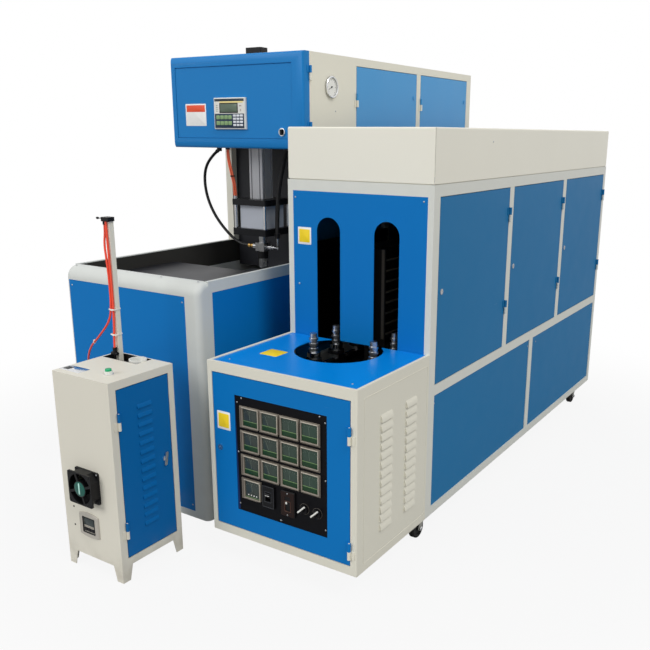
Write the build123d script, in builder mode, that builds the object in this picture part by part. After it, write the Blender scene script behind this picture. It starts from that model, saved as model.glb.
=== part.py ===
from build123d import *
from math import atan2, cos, degrees, pi, radians, sin, sqrt, tan
import os

os.makedirs("parts", exist_ok=True)

# Driving dimensions, in millimetres. The origin is the middle of the whole set on the floor.
# Heater unit: a long oven on castors, with a control box under a table in front of it.
heater_w = 630
control_d = 484
oven_l = 2104
heater_x1 = 777.1
heater_y0 = -1111.5
base_z = 112
sheet = 2
gap = 2.5

post_w = 24
front_post = 47
middle_post = 45
rear_post = 35
bottom_rail = 35
panel_h = 451
rail_h = 41.5
door_h = 688
seam = 3
hood_h = 189
tube_wall = 2
door_depth = 20
door_count = 3
panel_recess = 3
panel_t = 3

# Control box and table
table_z = 766
frame_left = 20
frame_right = 25
frame_top = 38
frame_bottom = 33
frame_depth = 20
rim_w = 12
rim_up = 3
table_t = 3
ledge_w = 22
hole_r = 165
louvre_w = 74
louvre_h = 25
louvre_out = 8
louvre_rows = 13
louvre_pitch = 33
louvre_wall = 1.6

# Chain with its spindles
lane_pitch = 255
wheel_y = 364
spindle_count = 32
link_pitch = 76.2
link_w = 20
link_t = 4
bed_t = 8
bed_margin = 25
bed_window = 50
slot_w = 107
slot_top = 1233
chain_gap = 0.3
rail_top = 18
axle_d = 30
spindle_pin = 9
running_fit = 0.05

# Hinges and locks
hinge_r = 6
hinge_clear = 0.3
hinge_pin_r = 3
hinge_half = 30
leaf_w = 18
leaf_t = 2.5
lock_r = 8
lock_flange_r = 11
lock_inset = 26
cam_t = 2.5
cam_w = 12
cam_reach = 14

# Castors
wheel_r = 40
wheel_w = 26
castor_trail = 28
plate_t = 4

# Instruments in the control door
instrument_w = 392
instrument_h = 436
meter = 80
meter_pitch_x = 87.5
meter_pitch_z = 90
meter_depth = 70

# Press unit: a cabinet with a worktable and an overhanging head
press_w = 762
press_l = 2334
press_gap = 174.5
press_back = 151
press_foot = 15
press_top = 993
nose = 56
nose_r = 50
corner_r = 25
press_wall = 16
deck_drop = 63
deck_t = 12
deck_l = 609
head_z0 = 1470
head_z1 = 1871
head_back = 672
head_door_d = 48
head_bull = 42
floor_t = 10
post_y = 1029
post_side = 40
axis_back = 849

# Moulds for a large water bottle
mould_w = 460
mould_d = 200
mould_top = 850
mould_h = 560
platen_t = 40
bar_r = 25
bar_span = 600
bottle_r = 135
bottle_h = 440
neck_r = 28

# Auxiliary cabinet
aux_w = 284
aux_l = 290
aux_h = 739.5
aux_x = 763
aux_y = 327
leg_h = 58
fan_side = 120
fan_d = 38
fan_r = 56

heater_x0 = heater_x1 - heater_w
wall_y = heater_y0 + control_d
oven_y1 = wall_y + oven_l
mid_x = (heater_x0 + heater_x1) / 2
panel_z0 = base_z + bottom_rail
panel_z1 = panel_z0 + panel_h
door_z0 = panel_z1 + rail_h
door_z1 = door_z0 + door_h
frame_z1 = door_z1 + rail_h
hood_z0 = frame_z1 + seam
inner_x0 = heater_x0 + post_w
inner_x1 = heater_x1 - post_w
first_y = wall_y + front_post
last_y = oven_y1 - rear_post
door_w = (last_y - first_y - (door_count - 1) * middle_post) / door_count
door_y = [first_y + i * (door_w + middle_post) for i in range(door_count)]
half_panel = (last_y - first_y - middle_post) / 2
hinge_axis = hinge_r + hinge_clear


def block(x, y, z, mode=Mode.ADD):
    """A box between two planes on each axis."""
    with Locations(((x[0] + x[1]) / 2, (y[0] + y[1]) / 2, (z[0] + z[1]) / 2)):
        Box(x[1] - x[0], y[1] - y[0], z[1] - z[0], mode=mode)


def plate(x, y, z):
    """One flat sheet or bar as a solid of its own."""
    with BuildPart() as sheet_part:
        block(x, y, z)
    return sheet_part.part


def square_tube(x, y, z):
    """A hollow tube along its longest side, open at its ends."""
    spans = (x, y, z)
    lengths = [b - a for a, b in spans]
    along = lengths.index(max(lengths))
    bore = [s if i == along else (s[0] + tube_wall, s[1] - tube_wall) for i, s in enumerate(spans)]
    with BuildPart() as tube_part:
        block(*spans)
        block(*bore, mode=Mode.SUBTRACT)
    return tube_part.part


def rod(x, y, z, radius, mode=Mode.ADD):
    """A round bar along Z between two heights."""
    with Locations((x, y, (z[0] + z[1]) / 2)):
        Cylinder(radius, z[1] - z[0], mode=mode)


def save(piece, label):
    """Name one piece and write it to its own file."""
    piece.label = label
    export_step(piece, f"parts/{label}.step")


def save_group(pieces, label):
    """Write separate solids that belong to one named piece."""
    save(Compound(children=pieces), label)


def knuckle(x, y, z, leaf, bored):
    """Half of a welded barrel hinge: a barrel and its flat leaf. leaf is (x span, y span)."""
    rod(x, y, z, hinge_r)
    block(leaf[0], leaf[1], z)
    if bored:
        rod(x, y, z, hinge_pin_r + running_fit, Mode.SUBTRACT)


def side_leaf(face_x, axis_y, toward):
    """The leaf of a hinge on a face that looks along X."""
    return (face_x, face_x + leaf_t), tuple(sorted((axis_y, axis_y + toward * leaf_w)))


def front_leaf(face_y, axis_x, toward):
    """The leaf of a hinge on a face that looks along -Y."""
    return tuple(sorted((axis_x, axis_x + toward * leaf_w))), (face_y - leaf_t, face_y)


def fixed_half(x, y, z, leaf):
    """The frame's half of a hinge, with the pin that stands up through the other half."""
    with BuildPart() as half:
        knuckle(x, y, (z - hinge_half, z), leaf, False)
        rod(x, y, (z, z + hinge_half), hinge_pin_r)
    return half.part


def lock_part(plane, depth, reach, turn):
    """A key lock: face ring, barrel through the door and a flat cam behind it.

    plane lies on the door's face, its normal outwards, and turn is the cam's angle there.
    """
    with BuildPart() as lock:
        with BuildSketch(plane):
            Circle(lock_flange_r)
        extrude(amount=3)
        with BuildSketch(plane):
            Circle(lock_r)
        extrude(amount=-depth)
        with BuildSketch(plane.offset(-depth)):
            with Locations(Rot(0, 0, turn) * Pos(reach / 2 - cam_w / 2, 0)):
                SlotOverall(reach + cam_w / 2, cam_w)
        extrude(amount=-cam_t)
        with BuildSketch(plane.offset(3)):
            SlotOverall(9, 2)
        extrude(amount=-1.5, mode=Mode.SUBTRACT)
    return lock.part


# Heater frame: welded rectangular tubes, with the door posts flush with the skin
tubes = []
for side in ((heater_x0, inner_x0), (inner_x1, heater_x1)):
    tubes.append(square_tube(side, (wall_y, first_y), (base_z, frame_z1)))
    tubes.append(square_tube(side, (last_y, oven_y1), (base_z, frame_z1)))
    for z in ((base_z, panel_z0), (panel_z1, door_z0), (door_z1, frame_z1)):
        tubes.append(square_tube(side, (first_y, last_y), z))
    tubes.append(square_tube(side, (first_y + half_panel, last_y - half_panel), (panel_z0, panel_z1)))
    for y in door_y[1:]:
        tubes.append(square_tube(side, (y - middle_post, y), (door_z0, door_z1)))
for y in ((wall_y, first_y), (last_y, oven_y1)):
    for z in ((base_z, panel_z0), (panel_z1, door_z0), (door_z1, frame_z1)):
        tubes.append(square_tube((inner_x0, inner_x1), y, z))
for y in door_y[1:]:
    tubes.append(square_tube((inner_x0, inner_x1), (y - middle_post, y), (panel_z1, door_z0)))

# Hood: a folded cover that stands on a narrow curb, which shows as the dark seam
hood_r = 8
curb = 5
with BuildPart() as hood:
    block((heater_x0, heater_x1), (wall_y, oven_y1), (hood_z0, hood_z0 + hood_h))
    fillet(hood.edges().filter_by(Axis.Z), hood_r)
    fillet(hood.faces().sort_by(Axis.Z)[-1].edges(), hood_r - sheet)
    block((heater_x0 + sheet, heater_x1 - sheet), (wall_y + sheet, oven_y1 - sheet),
          (hood_z0 + sheet, hood_z0 + hood_h - sheet), Mode.SUBTRACT)
    block((heater_x0 + curb, heater_x1 - curb), (wall_y + curb, oven_y1 - curb), (frame_z1, hood_z0))
    block((inner_x0, inner_x1), (wall_y + post_w, oven_y1 - post_w),
          (frame_z1, hood_z0 + sheet), Mode.SUBTRACT)
save(hood.part, "heater_hood")

# Fixed panels: two on the near side below the doors, the others on the far side and the rear
near_face = (heater_x1 - panel_recess - panel_t, heater_x1 - panel_recess)
far_face = (heater_x0 + panel_recess, heater_x0 + panel_recess + panel_t)
rear_face = (oven_y1 - panel_recess - panel_t, oven_y1 - panel_recess)
panels = [plate(x, y, (panel_z0, panel_z1)) for x in (near_face, far_face)
          for y in ((first_y, first_y + half_panel), (last_y - half_panel, last_y))]
panels += [plate(far_face, (y, y + door_w), (door_z0, door_z1)) for y in door_y]
panels += [
    plate((inner_x0, inner_x1), (wall_y, oven_y1), (panel_z0, panel_z0 + sheet)),
    plate((inner_x0, inner_x1), rear_face, (panel_z0 + sheet, panel_z1)),
    plate((inner_x0, inner_x1), rear_face, (door_z0, door_z1)),
]
save_group(panels, "heater_panels")

# Front wall: one sheet with two arched slots for the spindles and what they carry
bed_z = door_z0
bed_top = bed_z + bed_t
wall_t = 2.5
wall_z0 = bed_top + seam
lane_x = (mid_x - lane_pitch / 2, mid_x + lane_pitch / 2)
with BuildPart() as front_wall:
    block((inner_x0, inner_x1), (wall_y, wall_y + wall_t), (wall_z0, door_z1))
    block(lane_x, (wall_y, wall_y + wall_t), (wall_z0, table_z - rim_up), Mode.SUBTRACT)
    with BuildSketch(Plane.XZ.offset(-wall_y)):
        for x in lane_x:
            with Locations((x, slot_top - slot_w / 2)):
                Circle(slot_w / 2)
            with Locations((x, (wall_z0 + slot_top - slot_w / 2) / 2)):
                Rectangle(slot_w, slot_top - slot_w / 2 - wall_z0)
    extrude(amount=-wall_t, mode=Mode.SUBTRACT)
save(front_wall.part, "heater_front_wall")

# Three side doors: shallow pans with barrel hinges on their rear edges
hinge_z = (door_z0 + 180, door_z0 + 575)
lock_z = door_z0 + 348


def side_door(label, face_x, y, z, hinge_y, toward, heights, lock_at, louvres=(), fixed_lock=()):
    """A pan door in a face that looks along X, hinged at hinge_y, its leaves lying toward it.

    louvres lists (centre y, z, width, height, out), and fixed_lock holds a lock that stays with the door.
    """
    with BuildPart() as door:
        block((face_x - door_depth, face_x), y, z)
        block((face_x - door_depth, face_x - sheet), (y[0] + sheet, y[1] - sheet),
              (z[0] + sheet, z[1] - sheet), Mode.SUBTRACT)
        for height in heights:
            knuckle(face_x + hinge_axis, hinge_y, (height, height + hinge_half),
                    side_leaf(face_x, hinge_y, toward), True)
        with Locations(Plane((face_x, lock_at[0], lock_at[1]), z_dir=(1, 0, 0))):
            Hole(lock_r + running_fit, sheet * 2)
        for spot in louvres:
            louvre(face_x, *spot)
    save_group([door.part, *fixed_lock], label)


def louvre(face_x, centre_y, z, width, height, out):
    """A pressed louvre on a face that looks along X: an arched hood with closed ends, open below."""
    start = centre_y - width / 2
    for inset, mode in ((0, Mode.ADD), (louvre_wall, Mode.SUBTRACT)):
        top = z + height - 2 * inset
        front = face_x + out - inset
        corners = [(face_x, z), (front, z)]
        if inset:
            corners = [(face_x - sheet, top), (face_x - sheet, z), (front, z)]
        with BuildSketch(Plane.XZ.offset(-start - inset)) as hood_profile:
            with BuildLine():
                Polyline((face_x, top), *corners)
                ThreePointArc((front, z), (face_x + (out - inset) * 0.72, z + (top - z) * 0.5), (face_x, top))
            make_face()
        extrude(hood_profile.sketch, amount=-(width - 2 * inset), mode=mode)


for name, y in zip(("front", "middle", "rear"), door_y):
    y_span = (y + gap, y + door_w - gap)
    axis_y = y + door_w - gap / 2
    z_span = (door_z0 + gap, door_z1 - gap)
    lock_y = y + gap + lock_inset
    side_door(f"heater_door_{name}", heater_x1, y_span, z_span, axis_y, -1, hinge_z, (lock_y, lock_z))
    for height in hinge_z:
        leaf = side_leaf(heater_x1, axis_y, 1)
        tubes.append(fixed_half(heater_x1 + hinge_axis, axis_y, height, leaf))
    lock_plane = Plane((heater_x1, lock_y, lock_z), x_dir=(0, 1, 0), z_dir=(1, 0, 0))
    cam = lock_inset + gap + cam_reach
    save(lock_part(lock_plane, post_w + hinge_clear, cam, -90), f"heater_lock_{name}")

# Control box: door frame, side sheets, floor and a table rim on top
rim_z = table_z - rim_up
ledge_z = rim_z - table_t
side_top = table_z - frame_top
louvre_y = (heater_y0 + 180.5, heater_y0 + 351)
with BuildPart() as right_bar:
    block((heater_x1 - frame_right, heater_x1), (heater_y0, heater_y0 + frame_depth), (base_z, side_top))
    edge = right_bar.edges().filter_by(Axis.Z).group_by(Axis.X)[-1].sort_by(Axis.Y)[0]
    fillet(edge, 3)
with BuildPart() as right_sheet:
    block((heater_x1 - sheet, heater_x1), (heater_y0 + frame_depth, wall_y), (base_z, side_top))
    for y in louvre_y:
        for row in range(louvre_rows):
            louvre(heater_x1, y, side_top - 112 - row * louvre_pitch, louvre_w, louvre_h, louvre_out)
with BuildPart() as rim_front:
    block((heater_x0, heater_x1), (heater_y0, heater_y0 + rim_w), (side_top, table_z))
    block((heater_x0, heater_x1), (heater_y0 + rim_w, heater_y0 + ledge_w), (side_top, ledge_z))
    for x in ((heater_x0, heater_x0 + rim_w), (heater_x1 - rim_w, heater_x1)):
        block(x, (heater_y0 + rim_w, heater_y0 + ledge_w), (ledge_z, table_z))
    fillet(rim_front.edges().filter_by(Axis.Z).group_by(Axis.X)[-1].sort_by(Axis.Y)[0], 3)
rim_sides = []
for outer, inner in ((heater_x0, 1), (heater_x1, -1)):
    with BuildPart() as rim_side:
        span_y = (heater_y0 + ledge_w, wall_y)
        block(tuple(sorted((outer, outer + inner * rim_w))), span_y, (side_top, table_z))
        block(tuple(sorted((outer + inner * rim_w, outer + inner * ledge_w))), span_y, (side_top, ledge_z))
    rim_sides.append(rim_side.part)
control_axis = (heater_x1 - frame_right - gap / 2, heater_y0 - hinge_axis)
control_hinge_z = (base_z + 91, base_z + 498)
save_group([
    *[fixed_half(*control_axis, height, front_leaf(heater_y0, control_axis[0], 1))
      for height in control_hinge_z],
    right_bar.part,
    right_sheet.part,
    rim_front.part,
    *rim_sides,
    plate((heater_x0, heater_x0 + frame_left), (heater_y0, heater_y0 + frame_depth), (base_z, side_top)),
    plate((heater_x0 + frame_left, heater_x1 - frame_right), (heater_y0, heater_y0 + frame_depth),
          (base_z, base_z + frame_bottom)),
    plate((heater_x0, heater_x0 + sheet), (heater_y0 + frame_depth, wall_y), (base_z, side_top)),
    plate((heater_x0 + sheet, heater_x1 - sheet), (heater_y0 + frame_depth, wall_y),
          (base_z, base_z + sheet)),
], "control_box")

with BuildPart() as table_sheet:
    block((heater_x0 + rim_w, heater_x1 - rim_w), (heater_y0 + rim_w, wall_y), (ledge_z, rim_z))
    rod(mid_x, heater_y0 + wheel_y, (ledge_z, rim_z), hole_r, Mode.SUBTRACT)
save(table_sheet.part, "table_sheet")

# Control door: a pan with a window in which the instrument plate sits on a ledge
cd_x = (heater_x0 + frame_left + gap, heater_x1 - frame_right - gap)
cd_z = (base_z + frame_bottom + gap, side_top - gap)
inst_x = (heater_x0 + 121, heater_x0 + 121 + instrument_w)
inst_z = (base_z + 110, base_z + 110 + instrument_h)
ledge = 10
inst_t = 3
inst_y = heater_y0 + sheet
lock_c = (cd_x[0] + lock_inset, base_z + 335)
with BuildPart() as control_door:
    block(cd_x, (heater_y0, heater_y0 + door_depth), cd_z)
    block((cd_x[0] + sheet, cd_x[1] - sheet), (heater_y0 + sheet, heater_y0 + door_depth),
          (cd_z[0] + sheet, cd_z[1] - sheet), Mode.SUBTRACT)
    block((inst_x[0] - ledge, inst_x[1] + ledge), (heater_y0, inst_y + inst_t + sheet),
          (inst_z[0] - ledge, inst_z[1] + ledge))
    block(inst_x, (heater_y0, inst_y + inst_t), inst_z, Mode.SUBTRACT)
    block((inst_x[0] + ledge, inst_x[1] - ledge), (heater_y0, heater_y0 + door_depth),
          (inst_z[0] + ledge, inst_z[1] - ledge), Mode.SUBTRACT)
    for height in control_hinge_z:
        knuckle(*control_axis, (height, height + hinge_half),
                front_leaf(heater_y0, control_axis[0], -1), True)
    with Locations(Plane((lock_c[0], heater_y0, lock_c[1]), z_dir=(0, -1, 0))):
        Hole(lock_r + running_fit, sheet * 2)
save(control_door.part, "control_door")
control_lock_plane = Plane((lock_c[0], heater_y0, lock_c[1]), x_dir=(1, 0, 0), z_dir=(0, -1, 0))
save(lock_part(control_lock_plane, frame_depth + hinge_clear, lock_inset + gap + cam_reach, -90),
     "control_lock")

# Instrument plate and what is set in it: meters, relay, breaker and two selectors
face_y = inst_y
meter_x = [inst_x[0] + 62 + i * meter_pitch_x for i in range(4)]
meter_z = [inst_z[1] - 75 - i * meter_pitch_z for i in range(4)]
meter_at = [(x, z) for z in meter_z[:3] for x in meter_x] + [(meter_x[0], meter_z[3])]
breaker_at = (meter_x[1] - 5, meter_z[3] - 4)
relay_at = (meter_x[2] - 7, meter_z[3] - 8)
knob_at = ((meter_x[3] - 28, meter_z[3] - 10), (meter_x[3] + 26, meter_z[3] - 12))
cutout = meter - 8
breaker_w = 52
breaker_h = 82
relay_w = 58
relay_h = 92
knob_bore = 11
with BuildPart() as instrument_plate:
    block(inst_x, (face_y, face_y + inst_t), inst_z)
    with BuildSketch(Plane.XZ.offset(-face_y)):
        with Locations(*meter_at):
            Rectangle(cutout, cutout)
        with Locations(breaker_at):
            Rectangle(breaker_w - 8, breaker_h - 8)
        with Locations(relay_at):
            Rectangle(relay_w - 8, relay_h - 8)
        with Locations(*knob_at):
            Circle(knob_bore + running_fit)
    extrude(amount=-inst_t, mode=Mode.SUBTRACT)
save(instrument_plate.part, "instrument_plate")


def panel_device(at, width, height, out, window, depth):
    """A panel-mounted device: chamfered bezel with a sunk face, and its body behind the plate."""
    with BuildPart() as device:
        with BuildSketch(Plane.XZ.offset(-face_y)):
            with Locations(at):
                Rectangle(width, height)
        extrude(amount=out)
        chamfer(device.faces().sort_by(Axis.Y)[0].edges(), out * 0.5)
        with BuildSketch(Plane.XZ.offset(out - face_y)):
            with Locations((at[0] + window[0], at[1] + window[1])):
                Rectangle(window[2], window[3])
        extrude(amount=-1.5, mode=Mode.SUBTRACT)
        with BuildSketch(Plane.XZ.offset(-face_y)):
            with Locations(at):
                Rectangle(width - 8, height - 8)
        extrude(amount=-depth)
    return device.part


meters = [panel_device(at, meter, meter, 6, (0, 0, meter - 16, meter - 16), meter_depth)
          for at in meter_at]
relay_unit = panel_device(relay_at, relay_w, relay_h, 8, (0, -22, relay_w - 22, 20), 50)

breaker_out = 8
lever_r = 9
with BuildPart() as breaker:
    with BuildSketch(Plane.XZ.offset(-face_y)):
        with Locations(breaker_at):
            Rectangle(breaker_w, breaker_h)
    extrude(amount=breaker_out)
    with BuildSketch(Plane.XZ.offset(-face_y)):
        with Locations(breaker_at):
            Rectangle(breaker_w - 8, breaker_h - 8)
    extrude(amount=-50)
    block((breaker_at[0] - 11, breaker_at[0] + 11), (face_y - breaker_out, face_y + 16),
          (breaker_at[1] - 16, breaker_at[1] + 16), Mode.SUBTRACT)
save_group([*meters, relay_unit, breaker.part], "instruments")
# The lever turns on a cross pin whose ends sit in the body
lever_axis_y = face_y + 3
with BuildPart() as lever:
    with BuildSketch(Plane.YZ.offset(breaker_at[0] - 10.5)):
        with Locations((lever_axis_y, breaker_at[1])):
            Circle(lever_r)
        with Locations((lever_axis_y - 9, breaker_at[1] + 6)):
            Rectangle(20, 7, rotation=-38)
    extrude(amount=21)
save(lever.part, "breaker_lever")

for label, at in zip(("selector_left", "selector_right"), knob_at):
    with BuildPart() as selector:
        with BuildSketch(Plane.XZ.offset(-face_y)):
            with Locations(at):
                Circle(15)
        extrude(amount=8)
        with BuildSketch(Plane.XZ.offset(-face_y)):
            with Locations(at):
                Circle(knob_bore)
        extrude(amount=-30)
        with BuildSketch(Plane.XZ.offset(8 - face_y)):
            with Locations(at):
                SlotOverall(28, 8, rotation=60)
        extrude(amount=10)
    save(selector.part, label)

# Castors: mounting plate with a kingpin, swivel fork with its axle, and the wheel
plate_z = base_z - plate_t
king_r = 6
race_top = plate_z - hinge_clear
castor_x = (heater_x0 + 62, heater_x1 - 62)
castor_y = (wall_y + 75, oven_y1 - 103)


def castor_plate(x, y):
    """The top plate and kingpin, fixed under the frame."""
    with BuildPart() as mount_plate:
        block((x - 52, x + 52), (y - 40, y + 40), (plate_z, base_z))
        fillet(mount_plate.edges().filter_by(Axis.Z), 8)
        rod(x, y, (race_top - 14, plate_z), king_r)
        rod(x, y, (race_top - 14, race_top - 10), king_r + 4)
    return mount_plate.part


def castor_fork(x, y):
    """The swivel race and two legs that taper to the wheel's axle."""
    leg_x = wheel_w / 2 + 3
    axle_y = y - castor_trail
    with BuildPart() as fork:
        rod(x, y, (race_top - 6, race_top), 26)
        block((x - leg_x - 3, x + leg_x + 3), (y - 22, y + 22), (race_top - 9, race_top - 6))
        for start in (x - leg_x - 3, x + leg_x):
            with BuildSketch(Plane.YZ.offset(start)):
                with Locations((axle_y, wheel_r)):
                    Circle(10)
                with Locations((y, race_top - 11)):
                    Rectangle(40, 4)
                make_hull()
            extrude(amount=3)
        rod(x, y, (race_top - 10, race_top), king_r + running_fit, Mode.SUBTRACT)
        rod(x, y, (race_top - 16, race_top - 9), king_r + 5, Mode.SUBTRACT)
        with BuildSketch(Plane.YZ.offset(x - leg_x - 7)):
            with Locations((axle_y, wheel_r)):
                Circle(5)
        extrude(amount=2 * leg_x + 14)
    return fork.part


def castor_wheel(x, y):
    """Hub with a rounded tread, bored for the axle."""
    with BuildPart() as wheel:
        with BuildSketch(Plane.YZ.offset(x - wheel_w / 2)):
            with Locations((y - castor_trail, wheel_r)):
                Circle(wheel_r)
        extrude(amount=wheel_w)
        fillet(wheel.edges().filter_by(GeomType.CIRCLE), 5)
        for start, amount in ((x - wheel_w / 2, 5), (x + wheel_w / 2, -5)):
            with BuildSketch(Plane.YZ.offset(start)):
                with Locations((y - castor_trail, wheel_r)):
                    Circle(wheel_r - 13)
                    Circle(11, mode=Mode.SUBTRACT)
            extrude(amount=amount, mode=Mode.SUBTRACT)
        with BuildSketch(Plane.YZ.offset(x - wheel_w / 2)):
            with Locations((y - castor_trail, wheel_r)):
                Circle(5 + running_fit)
        extrude(amount=wheel_w, mode=Mode.SUBTRACT)
    return wheel.part


for row, y in zip(("front", "rear"), castor_y):
    for side, x in zip(("left", "right"), castor_x):
        tubes.append(castor_plate(x, y))
        save(castor_fork(x, y), f"castor_fork_{row}_{side}")
        save(castor_wheel(x, y), f"castor_wheel_{row}_{side}")
save_group(tubes, "heater_frame")

# Chain bed with its axles, slide rails and gear motor
pitch_r = lane_pitch / 2
chain_l = 2 * spindle_count * link_pitch
straight = (chain_l - 2 * pi * pitch_r) / 2
front_c = (mid_x, heater_y0 + wheel_y)
rear_c = (mid_x, heater_y0 + wheel_y + straight)
chain_z = bed_top + rail_top + chain_gap
disc_z = (chain_z - 2, chain_z + 8)
hub_top = chain_z + 28
disc_r = sqrt(pitch_r ** 2 - (link_pitch / 2) ** 2) - link_w / 2 - 1
with BuildPart() as bed:
    with BuildSketch(Plane.XY.offset(bed_z)):
        with Locations((mid_x, (front_c[1] + rear_c[1]) / 2)):
            SlotOverall(straight + lane_pitch + 2 * bed_margin, lane_pitch + 2 * bed_margin, rotation=90)
            Rectangle(bed_window, straight - 2 * lane_pitch, mode=Mode.SUBTRACT)
    extrude(amount=bed_t)
axles = []
for x, y in (front_c, rear_c):
    with BuildPart() as axle:
        rod(x, y, (bed_top, hub_top + 6), axle_d / 2)
        rod(x, y, (hub_top + chain_gap, hub_top + 8), axle_d / 2 + 6)
    axles.append(axle.part)
rails = [plate((x - 6, x + 6), (front_c[1], rear_c[1]), (bed_top, bed_top + rail_top)) for x in lane_x]
motor_box = 140
with BuildPart() as gear_motor:
    block((mid_x - motor_box / 2, mid_x + motor_box / 2), (rear_c[1] - motor_box / 2, rear_c[1] + motor_box / 2),
          (bed_z - 96, bed_z))
    rod(mid_x, rear_c[1], (panel_z0 + 60, bed_z - 96), 62)
save_group([bed.part, *axles, *rails, gear_motor.part], "chain_bed")

for label, (x, y) in (("front_wheel", front_c), ("drive_wheel", rear_c)):
    with BuildPart() as chain_wheel:
        rod(x, y, (bed_top + chain_gap, hub_top), 38)
        rod(x, y, disc_z, disc_r)
        with BuildSketch(Plane.XY.offset(disc_z[0])):
            with Locations((x, y)):
                with PolarLocations(disc_r * 0.68, 6):
                    Circle(disc_r * 0.18)
        extrude(amount=disc_z[1] - disc_z[0], mode=Mode.SUBTRACT)
        rod(x, y, (bed_top, hub_top), axle_d / 2 + running_fit, Mode.SUBTRACT)
    save(chain_wheel.part, label)


def along_chain(s):
    """Where a point lies after s millimetres along the closed pitch line, from the left front."""
    arc = pi * pitch_r
    s = s % chain_l
    if s < straight:
        return lane_x[0], front_c[1] + s
    s -= straight
    if s < arc:
        turn = pi - s / pitch_r
        return mid_x + pitch_r * cos(turn), rear_c[1] + pitch_r * sin(turn)
    s -= arc
    if s < straight:
        return lane_x[1], rear_c[1] - s
    turn = -(s - straight) / pitch_r
    return mid_x + pitch_r * cos(turn), front_c[1] + pitch_r * sin(turn)


# Each second link lies higher, so that the plates overlap at the pins
first_pin = 18
pins = [along_chain(first_pin + i * link_pitch) for i in range(2 * spindle_count)]
axle_top = chain_z + 2 * link_t + 40
links = []
for i, (xa, ya) in enumerate(pins):
    xb, yb = pins[(i + 1) % len(pins)]
    length = ((xb - xa) ** 2 + (yb - ya) ** 2) ** 0.5
    centre = ((xa + xb) / 2, (ya + yb) / 2)
    low = i % 2 == 0
    level = chain_z if low else chain_z + link_t
    with BuildPart() as link:
        with BuildSketch(Plane.XY.offset(level)):
            with Locations(centre):
                SlotCenterToCenter(length, link_w, rotation=degrees(atan2(yb - ya, xb - xa)))
        extrude(amount=link_t)
        if low:
            rod(xa, ya, (level + link_t, axle_top), spindle_pin / 2)
            rod(xb, yb, (level + link_t, level + 2 * link_t + 2), spindle_pin / 2)
        else:
            for x, y in ((xa, ya), (xb, yb)):
                rod(x, y, (level, level + link_t), spindle_pin / 2 + running_fit, Mode.SUBTRACT)
    links.append(link.part)

# Spindles: a black flange, a bright seat ring and a ribbed core that holds the neck from inside
spindle_z = chain_z + 2 * link_t
seat_z = chain_z + 30


def spindle(x, y):
    """One spindle, turned about its own axis and bored for its pin."""
    with BuildPart() as turned:
        rod(x, y, (spindle_z, seat_z), 11)
        rod(x, y, (seat_z, seat_z + 14), 31)
        rod(x, y, (seat_z + 14, seat_z + 22), 20)
        rod(x, y, (seat_z + 22, seat_z + 38), 26)
        rod(x, y, (seat_z + 38, seat_z + 112), 14)
        for ring in range(3):
            rod(x, y, (seat_z + 46 + ring * 20, seat_z + 54 + ring * 20), 18)
        rod(x, y, (spindle_z, axle_top + 1), spindle_pin / 2 + running_fit, Mode.SUBTRACT)
    return turned.part


spots = [spot for spot in pins[::2] if spot[1] > front_c[1]]
save(spindle(*spots[0]), "spindle_front")
save_group([*links, *[spindle(*spot) for spot in spots[1:]]], "chain")

# Lamp bank between the two lanes, with tubes on both sides, and mirror sheets outside the lanes
bank_half = 57
lamp_r = 5
lamp_rows = 8
lamp_pitch = 41
lamp_z0 = 790
bank_z = (745, 1120)
end_t = 6
lamp_out = 16
bank_parts = []
for y in door_y:
    y0 = max(y + 8, wall_y + 70)
    y1 = min(y + door_w - 8, rear_c[1] - pitch_r - 20)
    bank_parts.append(plate((mid_x - bank_half, mid_x + bank_half), (y0 + end_t, y1 - end_t), bank_z))
    for end in ((y0, y0 + end_t), (y1 - end_t, y1)):
        bank_parts.append(plate((mid_x - bank_half - 26, mid_x + bank_half + 26), end, bank_z))
    for x in (mid_x - bank_half - lamp_out, mid_x + bank_half + lamp_out):
        for row in range(lamp_rows):
            with BuildPart() as lamp:
                with BuildSketch(Plane.XZ.offset(-(y0 + end_t))):
                    with Locations((x, lamp_z0 + row * lamp_pitch)):
                        Circle(lamp_r)
                extrude(amount=-(y1 - y0 - 2 * end_t))
            bank_parts.append(lamp.part)
    for x in (mid_x - bank_half, mid_x + bank_half - 30):
        for foot in (y0 + 80, y1 - 110):
            bank_parts.append(plate((x, x + 30), (foot, foot + 30), (bed_top, bank_z[0])))
mirror_off = 20
mirror_z0 = bed_top + 60
bracket_z = door_z0 - 24
for rail_x, inner in ((inner_x0, 1), (inner_x1, -1)):
    near = rail_x + inner * mirror_off
    mirror_x = tuple(sorted((near, near + inner * sheet)))
    for y in door_y:
        span_y = (y + 8, min(y + door_w - 8, rear_c[1]))
        bank_parts.append(plate(mirror_x, span_y, (mirror_z0, bank_z[1])))
        for foot in (y + 40, y + door_w - 120):
            with BuildPart() as bracket:
                block(mirror_x, (foot, foot + 40), (bracket_z, mirror_z0))
                block(tuple(sorted((rail_x, near))), (foot, foot + 40), (bracket_z, bracket_z + 14))
            bank_parts.append(bracket.part)
save_group(bank_parts, "lamp_bank")

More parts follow.
